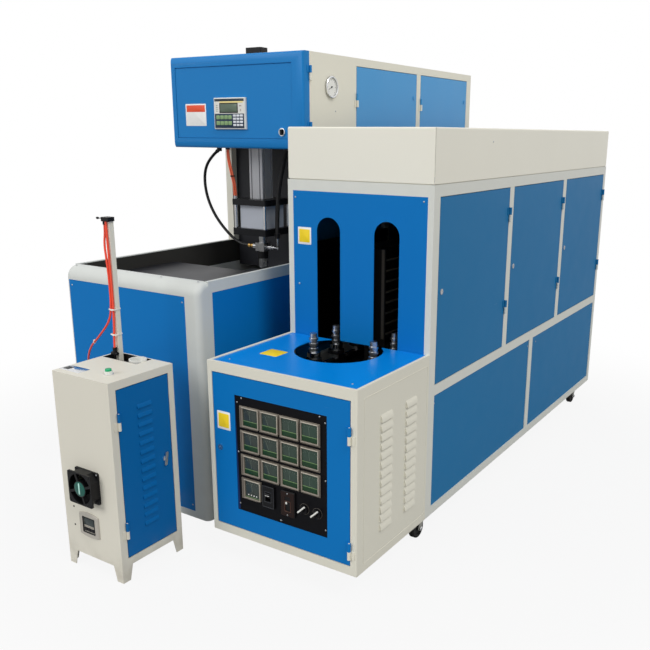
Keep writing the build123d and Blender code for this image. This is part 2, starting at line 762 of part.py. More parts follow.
# Press cabinet: a front casing with a large round nose, side walls, floor, rear wall and feet
press_x1 = heater_x0 - press_gap
press_x0 = press_x1 - press_w
press_y0 = heater_y0 + press_back
press_y1 = press_y0 + press_l
press_mid = (press_x0 + press_x1) / 2
axis_y = press_y0 + axis_back
wall_in = (press_x0 + press_wall, press_x1 - press_wall)
nose_y = press_y0 + nose
back_y = press_y0 + post_y
panel_cut = 4
side_cols = 20
front_cols = (20, 72)
panel_foot = 29
nose_drop = 57
side_drop = 45
panel_span_z = (press_foot + panel_foot, press_top - nose_drop)
side_span_z = (press_foot + panel_foot, press_top - side_drop)
rail_end = 54
side_split = (press_l - side_cols - nose - rail_end) / 2
side_spans = [(nose_y + side_cols + i * side_split, nose_y + side_cols + (i + 1) * side_split - side_cols)
              for i in range(2)]
front_span = (press_x0 + front_cols[0], press_x1 - front_cols[1])
foot_r = 25
top_sheet = 3
with BuildPart() as front_case:
    block((press_x0, press_x1), (press_y0, nose_y), (press_foot, press_top))
    front_top = front_case.edges().filter_by(Axis.X).group_by(Axis.Z)[-1].sort_by(Axis.Y)[0]
    fillet(front_top, nose_r)
    for side in (0, -1):
        face = front_case.faces().filter_by(Axis.X).sort_by(Axis.X)[side]
        rim = [e for e in face.edges() if e.center().Y < nose_y - 1 and e.center().Z > press_foot + 1]
        fillet(rim, corner_r)
    block(front_span, (press_y0, press_y0 + panel_cut), panel_span_z, Mode.SUBTRACT)
cabinet = [front_case.part]
press_panels = [plate(front_span, (press_y0 + 1, press_y0 + panel_cut), panel_span_z)]
for outer, inner in ((press_x0, 1), (press_x1, -1)):
    with BuildPart() as side_wall:
        block(tuple(sorted((outer, outer + inner * press_wall))), (nose_y, press_y1), (press_foot, press_top))
        for y in side_spans:
            block(tuple(sorted((outer, outer + inner * panel_cut))), y, side_span_z, Mode.SUBTRACT)
    cabinet.append(side_wall.part)
    for y in side_spans:
        press_panels.append(plate(tuple(sorted((outer + inner, outer + inner * panel_cut))), y, side_span_z))
cabinet.append(plate(wall_in, (press_y1 - press_wall, press_y1), (press_foot, press_top)))
cabinet.append(plate(wall_in, (nose_y, press_y1 - press_wall), (press_foot, press_foot + floor_t)))
cabinet.append(plate(wall_in, (back_y + post_side, press_y1 - press_wall),
                     (press_top - top_sheet, press_top)))
for x in (press_x0 + 70, press_x1 - 70):
    for y in (press_y0 + 120, (press_y0 + press_y1) / 2, press_y1 - 90):
        with BuildPart() as foot:
            rod(x, y, (0, 6), foot_r)
            rod(x, y, (6, press_foot), 9)
        cabinet.append(foot.part)

# Clamp frame under the deck: two upright plates joined by four bars on which the moulds slide
clamp_w = 690
bar_len = 480
plate_d = 40
bar_z = (390, 740)
platen_top = 820
press_floor = press_foot + floor_t
bar_at = [(press_mid + side * bar_span / 2, z) for side in (-1, 1) for z in bar_z]
for start in (axis_y - bar_len - plate_d, axis_y + bar_len):
    cabinet.append(plate((press_mid - clamp_w / 2, press_mid + clamp_w / 2), (start, start + plate_d),
                         (press_floor, platen_top)))
for x, z in bar_at:
    with BuildPart() as bar:
        with BuildSketch(Plane.XZ.offset(bar_len - axis_y)):
            with Locations((x, z)):
                Circle(bar_r)
        extrude(amount=-2 * bar_len)
    cabinet.append(bar.part)
save_group(cabinet, "press_cabinet")
save_group(press_panels, "press_panels")

# Deck: a sunk black worktable in front of the mould well, and the black sheet behind the well
deck_z = press_top - deck_drop
back_sheet = (press_x0 + post_side, press_x1 - post_w)
save_group([
    plate(wall_in, (nose_y, nose_y + deck_l - nose), (deck_z - deck_t, deck_z)),
    plate(back_sheet, (back_y + post_side - 3, back_y + post_side), (mould_top + 12, head_z0)),
], "deck")

# Moulds: two blocks with half a bottle each, on platens that slide along the bars
cavity_z0 = mould_top - bottle_h
mould_z0 = mould_top - mould_h


def mould(side):
    """One mould half with its platen; side is -1 in front of the bottle's axis and 1 behind it."""
    face = tuple(sorted((axis_y, axis_y + side * mould_d)))
    platen = tuple(sorted((axis_y + side * mould_d, axis_y + side * (mould_d + platen_t))))
    with BuildPart() as half:
        block((press_mid - mould_w / 2, press_mid + mould_w / 2), face, (mould_z0, mould_top))
        block((press_mid - clamp_w / 2, press_mid + clamp_w / 2), platen, (mould_z0, platen_top))
        with BuildSketch(Plane((press_mid, axis_y, 0), x_dir=(1, 0, 0), z_dir=(0, -1, 0))):
            with BuildLine():
                Polyline((0, cavity_z0 + 18), (60, cavity_z0 + 10), (bottle_r - 20, cavity_z0),
                         (bottle_r, cavity_z0 + 18), (bottle_r, cavity_z0 + 120),
                         (bottle_r - 6, cavity_z0 + 128), (bottle_r - 6, cavity_z0 + 138),
                         (bottle_r, cavity_z0 + 146), (bottle_r, cavity_z0 + 270),
                         (bottle_r - 45, cavity_z0 + 345), (neck_r, cavity_z0 + 385),
                         (neck_r, mould_top), (0, mould_top), close=True)
            make_face()
        revolve(axis=Axis((press_mid, axis_y, 0), (0, 0, 1)), mode=Mode.SUBTRACT)
        with BuildSketch(Plane.XZ.offset(-platen[0])):
            with Locations(*bar_at):
                Circle(bar_r + running_fit)
        extrude(amount=-platen_t, mode=Mode.SUBTRACT)
    return half.part


save(mould(-1), "mould_front")
save(mould(1), "mould_rear")

# Head: posts, tubes and skins of the overhanging box and of the rear body
head_y0 = press_y0 + head_back
body_y0 = head_y0 + head_door_d + 1
skin = 3
head_floor_z = head_z0 + floor_t
top_rail_z = head_z1 - rear_post
side_posts = ((back_y, back_y + 59), (back_y + 641, back_y + 683), (press_y1 - rail_end, press_y1))
door_bottom = press_top + front_post
right = (press_x1 - post_w, press_x1)
left = (press_x0, press_x0 + post_w)
cyl_side = 80
gauge_r = 41
gauge_at = (axis_y + 31, 1734)
with BuildPart() as head_floor:
    block((press_x0, press_x1), (body_y0, side_posts[0][1]), (head_z0, head_floor_z))
    block((press_mid - cyl_side / 2 - 0.5, press_mid + cyl_side / 2 + 0.5),
          (axis_y - cyl_side / 2 - 0.5, axis_y + cyl_side / 2 + 0.5), (head_z0, head_floor_z), Mode.SUBTRACT)
with BuildPart() as right_skin:
    block((press_x1 - skin, press_x1), (body_y0, back_y), (head_floor_z, top_rail_z))
    with Locations(Plane((press_x1, *gauge_at), z_dir=(1, 0, 0))):
        Hole(gauge_r, skin * 2)
left_x = (press_x0, press_x0 + skin)
head = [
    head_floor.part,
    right_skin.part,
    plate(left_x, (body_y0, press_y1 - skin), (head_floor_z, top_rail_z)),
    plate(left_x, (side_posts[0][1], press_y1 - skin), (press_top, head_floor_z)),
    plate(left_x, (back_y + post_side, side_posts[0][1]), (press_top, head_z0)),
    plate((press_x0, press_x1 - post_w), (press_y1 - skin, press_y1), (press_top, top_rail_z)),
    plate((left[1], right[0]), (body_y0 + post_w, press_y1 - post_w), (head_z1 - skin, head_z1)),
    square_tube((press_x0, press_x0 + post_side), (back_y, back_y + post_side), (press_top, head_z0)),
    square_tube(right, side_posts[0], (press_top, head_z0)),
    square_tube(right, side_posts[0], (head_floor_z, top_rail_z)),
    square_tube(right, side_posts[1], (door_bottom, top_rail_z)),
    square_tube(right, side_posts[2], (press_top, top_rail_z)),
    square_tube(right, (side_posts[0][1], side_posts[2][0]), (press_top, door_bottom)),
    square_tube(right, (body_y0, press_y1), (top_rail_z, head_z1)),
    square_tube(left, (body_y0, press_y1), (top_rail_z, head_z1)),
    square_tube((left[1], right[0]), (body_y0, body_y0 + post_w), (top_rail_z, head_z1)),
    square_tube((left[1], right[0]), (press_y1 - post_w, press_y1), (top_rail_z, head_z1)),
]
press_lock_z = head_z1 - 154
press_hinges = (door_bottom + 120, top_rail_z - 150)
for label, first, second in (("front", 0, 1), ("rear", 1, 2)):
    y_span = (side_posts[first][1] + gap, side_posts[second][0] - gap)
    hinge_y = side_posts[first][1] + gap / 2
    press_lock = Plane((press_x1, y_span[1] - lock_inset, press_lock_z), x_dir=(0, 1, 0), z_dir=(1, 0, 0))
    side_door(f"press_door_{label}", press_x1, y_span, (door_bottom + gap, top_rail_z - gap),
              hinge_y, 1, press_hinges, (y_span[1] - lock_inset, press_lock_z),
              fixed_lock=[lock_part(press_lock, post_w + hinge_clear, lock_inset + gap + cam_reach, -90)])
    for height in press_hinges:
        head.append(fixed_half(press_x1 + hinge_axis, hinge_y, height, side_leaf(press_x1, hinge_y, -1)))

# Head door: the whole rounded blue front, hinged on its right edge, with a sunk face panel
head_hinges = (head_z1 - 87, head_z1 - 316)
head_hinge_y = body_y0 - 0.5
face_x = (press_x0 + 28, press_x1 - 58)
face_z = (head_z0 + 43, head_z0 + 355)
face_cut = 2
controller_x = (press_x0 + 269, press_x0 + 453)
controller_z = (head_z0 + 83, head_z0 + 219)
controller_out = 12
switch_at = (press_x1 - 112, head_z0 + 72)
switch_r = 11
with BuildPart() as head_door:
    block((press_x0, press_x1), (head_y0, head_y0 + head_door_d), (head_z0, head_z1))
    front_edges = head_door.faces().sort_by(Axis.Y)[0].edges()
    fillet(front_edges.filter_by(Axis.X), head_bull)
    fillet(head_door.edges().filter_by(Axis.Z).group_by(Axis.X)[-1].sort_by(Axis.Y)[0], corner_r)
    block(face_x, (head_y0, head_y0 + face_cut), face_z, Mode.SUBTRACT)
    block((face_x[0], face_x[1]), (head_y0 + 6, head_y0 + head_door_d), face_z, Mode.SUBTRACT)
    for height in head_hinges:
        knuckle(press_x1 + hinge_axis, head_hinge_y, (height, height + hinge_half),
                side_leaf(press_x1, head_hinge_y, -1), True)
    with Locations(Plane((switch_at[0], head_y0, switch_at[1]), z_dir=(0, -1, 0))):
        Hole(switch_r + running_fit, head_door_d * 2)
save(head_door.part, "head_door")
for height in head_hinges:
    head.append(fixed_half(press_x1 + hinge_axis, head_hinge_y, height, side_leaf(press_x1, head_hinge_y, 1)))
save_group(head, "press_head")

with BuildPart() as controller:
    block(controller_x, (head_y0 + face_cut - controller_out, head_y0 + face_cut), controller_z)
    chamfer(controller.faces().sort_by(Axis.Y)[0].edges(), 3)
    screen_y = (head_y0 + face_cut - controller_out, head_y0 + face_cut - controller_out + 1.5)
    block((controller_x[0] + 38, controller_x[1] - 42), screen_y, (controller_z[0] + 72, controller_z[0] + 112),
          Mode.SUBTRACT)
    block((controller_x[0] + 8, controller_x[1] - 12), screen_y, (controller_z[0] + 7, controller_z[0] + 66),
          Mode.SUBTRACT)
    for row in range(2):
        for column in range(4):
            key_x = controller_x[0] + 16 + column * 23
            key_z = controller_z[0] + 20 + row * 23
            block((key_x, key_x + 18), screen_y, (key_z, key_z + 17))
    for row in range(4):
        for column in range(3):
            key_x = controller_x[0] + 112 + column * 19
            key_z = controller_z[0] + 18 + row * 11.5
            block((key_x, key_x + 16), screen_y, (key_z, key_z + 9))
save(controller.part, "controller")

with BuildPart() as key_switch:
    with BuildSketch(Plane.XZ.offset(-head_y0 - face_cut)):
        with Locations(switch_at):
            Circle(17)
    extrude(amount=6)
    with BuildSketch(Plane.XZ.offset(-head_y0 - face_cut)):
        with Locations(switch_at):
            Circle(switch_r)
    extrude(amount=-30)
    with BuildSketch(Plane.XZ.offset(6 - head_y0 - face_cut)):
        with Locations(switch_at):
            SlotOverall(26, 9, rotation=90)
    extrude(amount=9)
save(key_switch.part, "key_switch")

# Gauge in the head's side and junction box on its roof
box_x = (press_x0 + 389, press_x0 + 476)
box_y = (body_y0 + 30, body_y0 + 83)
with BuildPart() as gauge:
    gauge_plane = Plane((press_x1, *gauge_at), x_dir=(0, 1, 0), z_dir=(1, 0, 0))
    with BuildSketch(gauge_plane):
        Circle(gauge_r + 5)
    extrude(amount=8)
    with BuildSketch(gauge_plane.offset(8)):
        Circle(gauge_r - 2)
    extrude(amount=-4, mode=Mode.SUBTRACT)
    with BuildSketch(gauge_plane):
        Circle(gauge_r - 1)
    extrude(amount=-30)
with BuildPart() as junction_box:
    block(box_x, box_y, (head_z1, head_z1 + 32))
    fillet(junction_box.edges().filter_by(Axis.Z), 6)
# Hose fittings: two slanted glands and a straight one under the head floor, an elbow on the panel
red_route = [
    (-526.9, -206.5, 1462), (-526.9, -206.5, 1424), (-505.9, -207.5, 1350), (-496.4, -199.5, 1292),
    (-496.4, -199.5, 1250)]
branch_route = [
    (-257.9, -1175.5, 1218), (-257.9, -1175.5, 1192), (-250.9, -1189, 1150), (-239.9, -1192.5, 1090),
    (-236.4, -1191, 1010), (-236.9, -1191, 930), (-246, -1190.5, 885), (-271, -1187, 850),
    (-316.7, -1177.5, 812), (-365, -1164, 776), (-420, -1145, 742), (-478, -1119, 693),
    (-528, -1085, 640), (-578, -1035, 592), (-612, -988, 552), (-622, -973.5, 515), (-622, -973.5, 480)]
black_route = [
    (-646.9, -151.5, 1449.4), (-691.9, -151.5, 1417.7), (-730.9, -149.5, 1362), (-741.9, -143.5, 1285),
    (-725.9, -135.5, 1200), (-679.9, -127.5, 1118), (-610.9, -117.5, 1046), (-544.9, -111.5, 1005),
    (-496.4, -111.5, 1005)]
conduit_route = [
    (-222.9, -151.5, 1455), (-237.9, -151.5, 1415), (-260.9, -151.5, 1340), (-276.9, -151.5, 1255),
    (-283.9, -151.5, 1170), (-286.9, -151.5, 1115), (-286.9, -151.5, 1080)]
glands = []
for route, reach, gland_r, drop in ((black_route, 22, 9, 10), (conduit_route, 10, 14, 1)):
    start = Vector(*route[0])
    back = (start - Vector(*route[1])).normalized()
    top = start + back * reach
    with BuildPart() as slanted:
        with BuildSketch(Plane(origin=start, z_dir=back)):
            Circle(gland_r)
        extrude(amount=reach)
        rod(top.X, top.Y, (top.Z - drop, head_z0), gland_r + 3)
        block((top.X - 60, top.X + 60), (top.Y - 60, top.Y + 60), (head_z0, head_z0 + 40), Mode.SUBTRACT)
    glands.append(slanted.part)
with BuildPart() as red_gland:
    rod(red_route[0][0], red_route[0][1], (red_route[0][2], head_z0), 10)
glands.append(red_gland.part)
elbow_at = branch_route[-1]
elbow_drop = 10
with BuildPart() as panel_elbow:
    rod(elbow_at[0], elbow_at[1], (elbow_at[2] - elbow_drop, elbow_at[2]), 7)
    with BuildSketch(Plane.XZ.offset(-elbow_at[1])):
        with Locations((elbow_at[0], elbow_at[2] - 6)):
            Circle(6)
    extrude(amount=-(press_y0 + 1 - elbow_at[1]))
save_group([gauge.part, junction_box.part, *glands, panel_elbow.part], "press_fittings")

# Seal cylinder, hung from the head floor: profile tube, flanges, tie rods and lower block
flange_half = 100
block_half = 75
tube_z = (1236, 1850)
flange_z = (1208, 1236)
block_z = (1100, 1208)
lower_z = (1068, 1100)
piston_r = 31
rod_r = 8
hollow_r = 18
stretch_fit = 0.5
piston_z = (1800, 1820)
with BuildPart() as profile:
    with BuildSketch(Plane.XY.offset(tube_z[0])):
        with Locations((press_mid, axis_y)):
            RectangleRounded(cyl_side, cyl_side, 5)
            with PolarLocations(cyl_side / 2 - 2, 4):
                with Locations((0, -24), (0, 24)):
                    Rectangle(5, 7, mode=Mode.SUBTRACT)
    extrude(amount=tube_z[1] - tube_z[0])
    rod(press_mid, axis_y, (tube_z[0] + 10, tube_z[1] - 10), piston_r + running_fit, Mode.SUBTRACT)
    rod(press_mid, axis_y, (tube_z[0], tube_z[0] + 10), rod_r + running_fit, Mode.SUBTRACT)
with BuildPart() as flange:
    with BuildSketch(Plane.XY.offset(flange_z[0])):
        with Locations((press_mid, axis_y)):
            RectangleRounded(2 * flange_half, 2 * flange_half, 6)
            Circle(rod_r + stretch_fit, mode=Mode.SUBTRACT)
    extrude(amount=flange_z[1] - flange_z[0])
with BuildPart() as body_block:
    with BuildSketch(Plane.XY.offset(block_z[0])):
        with Locations((press_mid, axis_y)):
            RectangleRounded(2 * block_half, 2 * block_half, 8)
            Circle(hollow_r + running_fit, mode=Mode.SUBTRACT)
    extrude(amount=block_z[1] - block_z[0])
with BuildPart() as lower_plate:
    with BuildSketch(Plane.XY.offset(lower_z[0])):
        with Locations((press_mid, axis_y)):
            RectangleRounded(2 * flange_half, 2 * flange_half, 6)
            Circle(hollow_r + running_fit, mode=Mode.SUBTRACT)
    extrude(amount=lower_z[1] - lower_z[0])
tie_rods = []
for sx in (-1, 1):
    for sy in (-1, 1):
        with BuildPart() as tie_rod:
            rod(press_mid + sx * (flange_half - 12), axis_y + sy * (flange_half - 12),
                (lower_z[1], flange_z[0]), 7)
        tie_rods.append(tie_rod.part)
with BuildPart() as flange_fitting:
    rod(red_route[-1][0], red_route[-1][1], (flange_z[1], red_route[-1][2]), 8)
save_group([profile.part, flange.part, body_block.part, lower_plate.part, flange_fitting.part, *tie_rods],
           "seal_cylinder")

# Seal nozzle: hollow rod, cross fitting, black collar and bright nose; the stretch rod runs in it
nozzle_tip = 905
with BuildPart() as nozzle:
    rod(press_mid, axis_y, (1025, 1195), hollow_r)
    block((press_mid - 26, press_mid + 26), (axis_y - 26, axis_y + 26), (985, 1025))
    with BuildSketch(Plane.YZ.offset(press_mid - 56)):
        with Locations((axis_y, 1005)):
            Circle(12)
    extrude(amount=112)
    rod(press_mid, axis_y, (950, 985), 25)
    rod(press_mid, axis_y, (nozzle_tip, 950), 22)
    chamfer(nozzle.faces().sort_by(Axis.Z)[0].edges(), 5)
    rod(press_mid, axis_y, (nozzle_tip, 1195), rod_r + stretch_fit, Mode.SUBTRACT)
# Its two ports: a brass nipple for the black hose, and a bright bent pipe up to the conduit's nut
port_z = black_route[-1][2]
port_out = 56
nipple_l = 32
pipe_start = Vector(press_mid + port_out, axis_y, port_z)
nut_at = conduit_route[-1]
nut_h = 22
nut_z = (nut_at[2] - nut_h, nut_at[2])
with BuildPart() as nipple:
    for start, end, nipple_r in ((0, 12, 9), (12, 20, 6.5), (20, nipple_l, 9)):
        with BuildSketch(Plane.YZ.offset(press_mid - port_out - end)):
            with Locations((axis_y, port_z)):
                Circle(nipple_r)
        extrude(amount=end - start)
with BuildPart() as bent_pipe:
    with BuildLine() as pipe_path:
        FilletPolyline(pipe_start, pipe_start + Vector(36, 0, 0), Vector(nut_at[0], nut_at[1], port_z),
                       Vector(nut_at[0], nut_at[1], nut_z[0]), radius=16)
    with BuildSketch(Plane(origin=pipe_start, z_dir=(1, 0, 0))):
        Circle(4.5)
    sweep(path=pipe_path.wires()[0])
    with BuildSketch(Plane(origin=pipe_start, z_dir=(1, 0, 0))):
        Circle(9)
    extrude(amount=12)
    rod(nut_at[0], nut_at[1], nut_z, 14)
save_group([nozzle.part, nipple.part, bent_pipe.part], "seal_nozzle")
with BuildPart() as stretch_rod:
    rod(press_mid, axis_y, (nozzle_tip + 5, piston_z[0]), rod_r)
    rod(press_mid, axis_y, piston_z, piston_r)
save(stretch_rod.part, "stretch_rod")

# Auxiliary cabinet: thin folded sheets with tapered legs, a window for the door and a top tray
aux_x1 = heater_x1 - aux_x
aux_x0 = aux_x1 - aux_w
aux_y0 = heater_y0 - aux_y
aux_y1 = aux_y0 + aux_l
leg_top = 45
leg_foot = 31
aux_door_y = (aux_y0 + 29, aux_y1 - 25)
aux_door_z = (86, 710)
tray_x = (aux_x0 + 8, aux_x1 - 98)
tray_y = (aux_y1 - 79, aux_y1 - 6)
tray_z = 712
button_at = (aux_x1 - 84, aux_y0 + 76)
button_r = 11
fan_at = (aux_x0 + 141, 342)
counter_at = (aux_x0 + 129, 184)
counter_w = 101
counter_h = 80
counter_bulge = 8


def leg_outline(start, end):
    """The lower outline of a side sheet: two tapered legs and the edge between them."""
    return Polyline((start, aux_h - sheet), (start, 0), (start + leg_foot, 0), (start + leg_top, leg_h),
                    (end - leg_top, leg_h), (end - leg_foot, 0), (end, 0), (end, aux_h - sheet), close=True)


aux_sheets = []
for plane, start, end in (
        (Plane.XZ.offset(-aux_y0 - sheet), aux_x0, aux_x1),
        (Plane.XZ.offset(-aux_y1), aux_x0, aux_x1),
        (Plane.YZ.offset(aux_x0), aux_y0 + sheet, aux_y1 - sheet),
        (Plane.YZ.offset(aux_x1 - sheet), aux_y0 + sheet, aux_y1 - sheet)):
    with BuildPart() as side_sheet:
        with BuildSketch(plane) as outline:
            with BuildLine():
                leg_outline(start, end)
            make_face()
        extrude(amount=sheet)
        if plane.z_dir.X > 0.5 and plane.origin.X > aux_x0 + sheet:
            block((aux_x1 - sheet, aux_x1), aux_door_y, aux_door_z, Mode.SUBTRACT)
        if plane.z_dir.Y < -0.5 and plane.origin.Y < aux_y1 - sheet:
            with BuildSketch(plane):
                with Locations(fan_at):
                    Circle(fan_r)
                with Locations(counter_at):
                    Rectangle(counter_w - 30, counter_h - 20)
            extrude(amount=sheet, mode=Mode.SUBTRACT)
    aux_sheets.append(side_sheet.part)
with BuildPart() as aux_top:
    block((aux_x0, aux_x1), (aux_y0, aux_y1), (aux_h - sheet, aux_h))
    block(tray_x, tray_y, (aux_h - sheet, aux_h), Mode.SUBTRACT)
    with Locations((*button_at, aux_h)):
        Hole(button_r + running_fit, sheet * 2)
aux_sheets.append(aux_top.part)
aux_sheets.append(plate((aux_x0 + sheet, aux_x1 - sheet), (aux_y0 + sheet, aux_y1 - sheet),
                        (leg_h, leg_h + sheet)))
aux_hinges = (194, 597)
aux_hinge_y = aux_door_y[0] + gap / 2
for height in aux_hinges:
    aux_sheets.append(fixed_half(aux_x1 + hinge_axis, aux_hinge_y, height,
                                 side_leaf(aux_x1, aux_hinge_y, -1)))
save_group(aux_sheets, "aux_cabinet")

aux_span_y = (aux_door_y[0] + gap, aux_door_y[1] - gap)
aux_span_z = (aux_door_z[0] + gap, aux_door_z[1] - gap)
latch_inset = 34
latch_at = (aux_span_y[1] - latch_inset, 396)
aux_louvre = (64, 15, 4.5)
aux_louvre_z = 619
aux_louvre_pitch = 34
aux_louvres = [((aux_door_y[0] + aux_door_y[1]) / 2, aux_louvre_z - row * aux_louvre_pitch, *aux_louvre)
               for row in range(14)]
side_door("aux_door", aux_x1, aux_span_y, aux_span_z, aux_hinge_y, 1, aux_hinges, latch_at, aux_louvres)
latch_plane = Plane((aux_x1, *latch_at), x_dir=(0, 1, 0), z_dir=(1, 0, 0))
latch = lock_part(latch_plane, door_depth + hinge_clear, latch_inset + gap + cam_reach, -90)
with BuildPart() as latch_handle:
    add(latch)
    with BuildSketch(latch_plane.offset(3)):
        SlotOverall(52, 13, rotation=80)
    extrude(amount=5)
save(latch_handle.part, "aux_latch")

# Fan: two square flanges on a round barrel, struts and a hub in front; the blades turn behind them
hub_r = 30
blade_count = 5
fan_y = aux_y0 - fan_d
flange_t = 6
strut_t = 5
fan_pin_r = 4
fan_hole = 105
fan_notch = 27
fan_corners = [(fan_at[0] + sx * fan_hole / 2, fan_at[1] + sz * fan_hole / 2)
               for sx in (-1, 1) for sz in (-1, 1)]
with BuildPart() as fan_frame:
    for face_start in (fan_y, aux_y0 - flange_t):
        with BuildSketch(Plane.XZ.offset(-face_start)):
            with Locations(fan_at):
                RectangleRounded(fan_side, fan_side, 7)
            with Locations(*fan_corners):
                Circle(2.2, mode=Mode.SUBTRACT)
        extrude(amount=-flange_t)
    with BuildSketch(Plane.XZ.offset(-fan_y)) as barrel:
        with Locations(fan_at):
            Rectangle(fan_side - 2, fan_side - 2)
        chamfer(barrel.vertices(), fan_notch)
    extrude(amount=-fan_d)
    with BuildSketch(Plane.XZ.offset(-fan_y)):
        with Locations(fan_at):
            Circle(fan_r)
    extrude(amount=-fan_d, mode=Mode.SUBTRACT)
    with BuildSketch(Plane.XZ.offset(-fan_y)):
        with Locations(fan_at):
            for turn in (20, 110, 200, 290):
                with Locations(Rot(0, 0, turn) * Pos((hub_r + fan_r) / 2, 0)):
                    Rectangle(fan_r - hub_r + 3, 9)
            Circle(hub_r)
    extrude(amount=-strut_t)
    with BuildSketch(Plane.XZ.offset(-fan_y)):
        with Locations(fan_at):
            Circle(fan_pin_r)
    extrude(amount=-(fan_d - 4))

with BuildPart() as fan_wheel:
    with BuildSketch(Plane.XZ.offset(-(fan_y + strut_t + hinge_clear))):
        with Locations(fan_at):
            Circle(hub_r - 1)
            Circle(fan_pin_r + running_fit, mode=Mode.SUBTRACT)
    extrude(amount=-(fan_d - strut_t - 3))
    for blade in range(blade_count):
        turn = 2 * pi * blade / blade_count
        out = Vector(cos(turn), 0, sin(turn))
        centre = Vector(fan_at[0], fan_y + fan_d / 2 + 2, fan_at[1])
        for reach, chord, pitch in ((hub_r - 4, 26, 48), (fan_r - 2, 30, 62)):
            with BuildSketch(Plane(origin=centre + out * reach, x_dir=(0, 1, 0), z_dir=out)):
                Rectangle(chord, 1.8, rotation=pitch)
        loft()
save(fan_wheel.part, "fan_wheel")

# Black tray let into the cabinet's top, with a bright ring that seats a neck
tray_wall = 2
tray_floor = tray_z + tray_wall
ring_at = (aux_x0 + 154, (tray_y[0] + tray_y[1]) / 2)
with BuildPart() as tray:
    block(tray_x, tray_y, (tray_z, aux_h))
    block((tray_x[0] + tray_wall, tray_x[1] - tray_wall), (tray_y[0] + tray_wall, tray_y[1] - tray_wall),
          (tray_floor, aux_h), Mode.SUBTRACT)
with BuildPart() as ring_seat:
    rod(*ring_at, (tray_floor, aux_h + 6), 32)
    rod(*ring_at, (tray_floor + 8, aux_h + 6), 28, Mode.SUBTRACT)
    rod(*ring_at, (tray_floor, tray_floor + 8), 14, Mode.SUBTRACT)

# Counter in the cabinet's front: a barrel-shaped bezel with a sunk screen
counter_x = (counter_at[0] - counter_w / 2, counter_at[0] + counter_w / 2)
counter_z = (counter_at[1] - counter_h / 2, counter_at[1] + counter_h / 2)
with BuildPart() as counter:
    with BuildSketch(Plane.XZ.offset(-aux_y0)):
        with BuildLine():
            Line((counter_x[0], counter_z[0]), (counter_x[0], counter_z[1]))
            ThreePointArc((counter_x[0], counter_z[1]), (counter_at[0], counter_z[1] + counter_bulge),
                          (counter_x[1], counter_z[1]))
            Line((counter_x[1], counter_z[1]), (counter_x[1], counter_z[0]))
            ThreePointArc((counter_x[1], counter_z[0]), (counter_at[0], counter_z[0] - counter_bulge),
                          (counter_x[0], counter_z[0]))
        make_face()
    extrude(amount=6)
    chamfer(counter.faces().sort_by(Axis.Y)[0].edges(), 2.5)
    with BuildSketch(Plane.XZ.offset(6 - aux_y0)):
        with Locations(counter_at):
            Rectangle(counter_w - 36, counter_h - 20)
    extrude(amount=-3, mode=Mode.SUBTRACT)
    with BuildSketch(Plane.XZ.offset(-aux_y0)):
        with Locations(counter_at):
            Rectangle(counter_w - 30, counter_h - 20)
    extrude(amount=-30)

# Push button: a collar on the top sheet, and a cap that slides through it
collar_h = 12
button_out = 20
with BuildPart() as collar:
    rod(*button_at, (aux_h, aux_h + collar_h), button_r + 4)
    rod(*button_at, (aux_h, aux_h + collar_h), button_r + running_fit, Mode.SUBTRACT)
with BuildPart() as push_button:
    rod(*button_at, (aux_h - 22, aux_h + button_out), button_r)
    fillet(push_button.edges().filter_by(GeomType.CIRCLE).sort_by(Axis.Z)[-1], 2)
save(push_button.part, "push_button")

# Square pole for the air hoses, with a black cap block and its elbow
pole_side = 20
pole_top = 1232
pole_at = (aux_x0 + 39, aux_y1 - 27)
cap_h = 15
elbow_x = pole_at[0] - 27
elbow_z = branch_route[0][2]
hose_front = pole_at[1] - 15
fitting_y = pole_at[1] - 18.5
pole_x = (pole_at[0] - pole_side / 2, pole_at[0] + pole_side / 2)
pole_y = (pole_at[1] - pole_side / 2, pole_at[1] + pole_side / 2)
with BuildPart() as cap_block:
    block((pole_at[0] - 20, pole_at[0] + 16), (pole_at[1] - 20, pole_at[1] + 10),
          (pole_top, pole_top + cap_h))
    with BuildSketch(Plane.YZ.offset(elbow_x)):
        with Locations((pole_at[1], pole_top + cap_h / 2)):
            Circle(5)
    extrude(amount=8)
    rod(elbow_x, pole_at[1], (elbow_z, pole_top + cap_h - 2), 6)
save_group([square_tube(pole_x, pole_y, (tray_floor, pole_top)), cap_block.part], "aux_pole")

# Black fitting on the tray, which the straight hose goes into
fitting_x = pole_at[0] - 1
fitting_z = tray_floor + 57
fitting_h = 26
outlet_up = 3
with BuildPart() as hose_fitting:
    rod(fitting_x, fitting_y, (tray_floor, fitting_z), 4.5)
    rod(fitting_x, fitting_y, (fitting_z - fitting_h, fitting_z), 8)
    with BuildSketch(Plane.YZ.offset(fitting_x - 17)):
        with Locations((fitting_y, fitting_z - fitting_h + outlet_up)):
            Circle(6)
    extrude(amount=32)
save_group([fan_frame.part, tray.part, ring_seat.part, counter.part, collar.part, hose_fitting.part],
           "aux_fittings")


def hose(label, diameter, route):
    """A free hose: straight runs joined by the largest tangent arcs that the runs allow."""
    points = [Vector(*point) for point in route]
    radii = []
    for before, at, after in zip(points, points[1:], points[2:]):
        shorter = min((at - before).length, (after - at).length)
        turn = (at - before).get_angle(after - at)
        radii.append(0.45 * shorter / tan(radians(turn) / 2))
    length = sum((b - a).length for a, b in zip(points, points[1:]))
    print(label, "route", round(length), "mm, radii", [round(r) for r in radii])
    with BuildPart() as tube:
        with BuildLine() as path:
            FilletPolyline(*points, radius=radii)
        with BuildSketch(Plane(origin=points[0], z_dir=points[1] - points[0])):
            Circle(diameter / 2)
        sweep(path=path.wires()[0])
    save(tube.part, label)


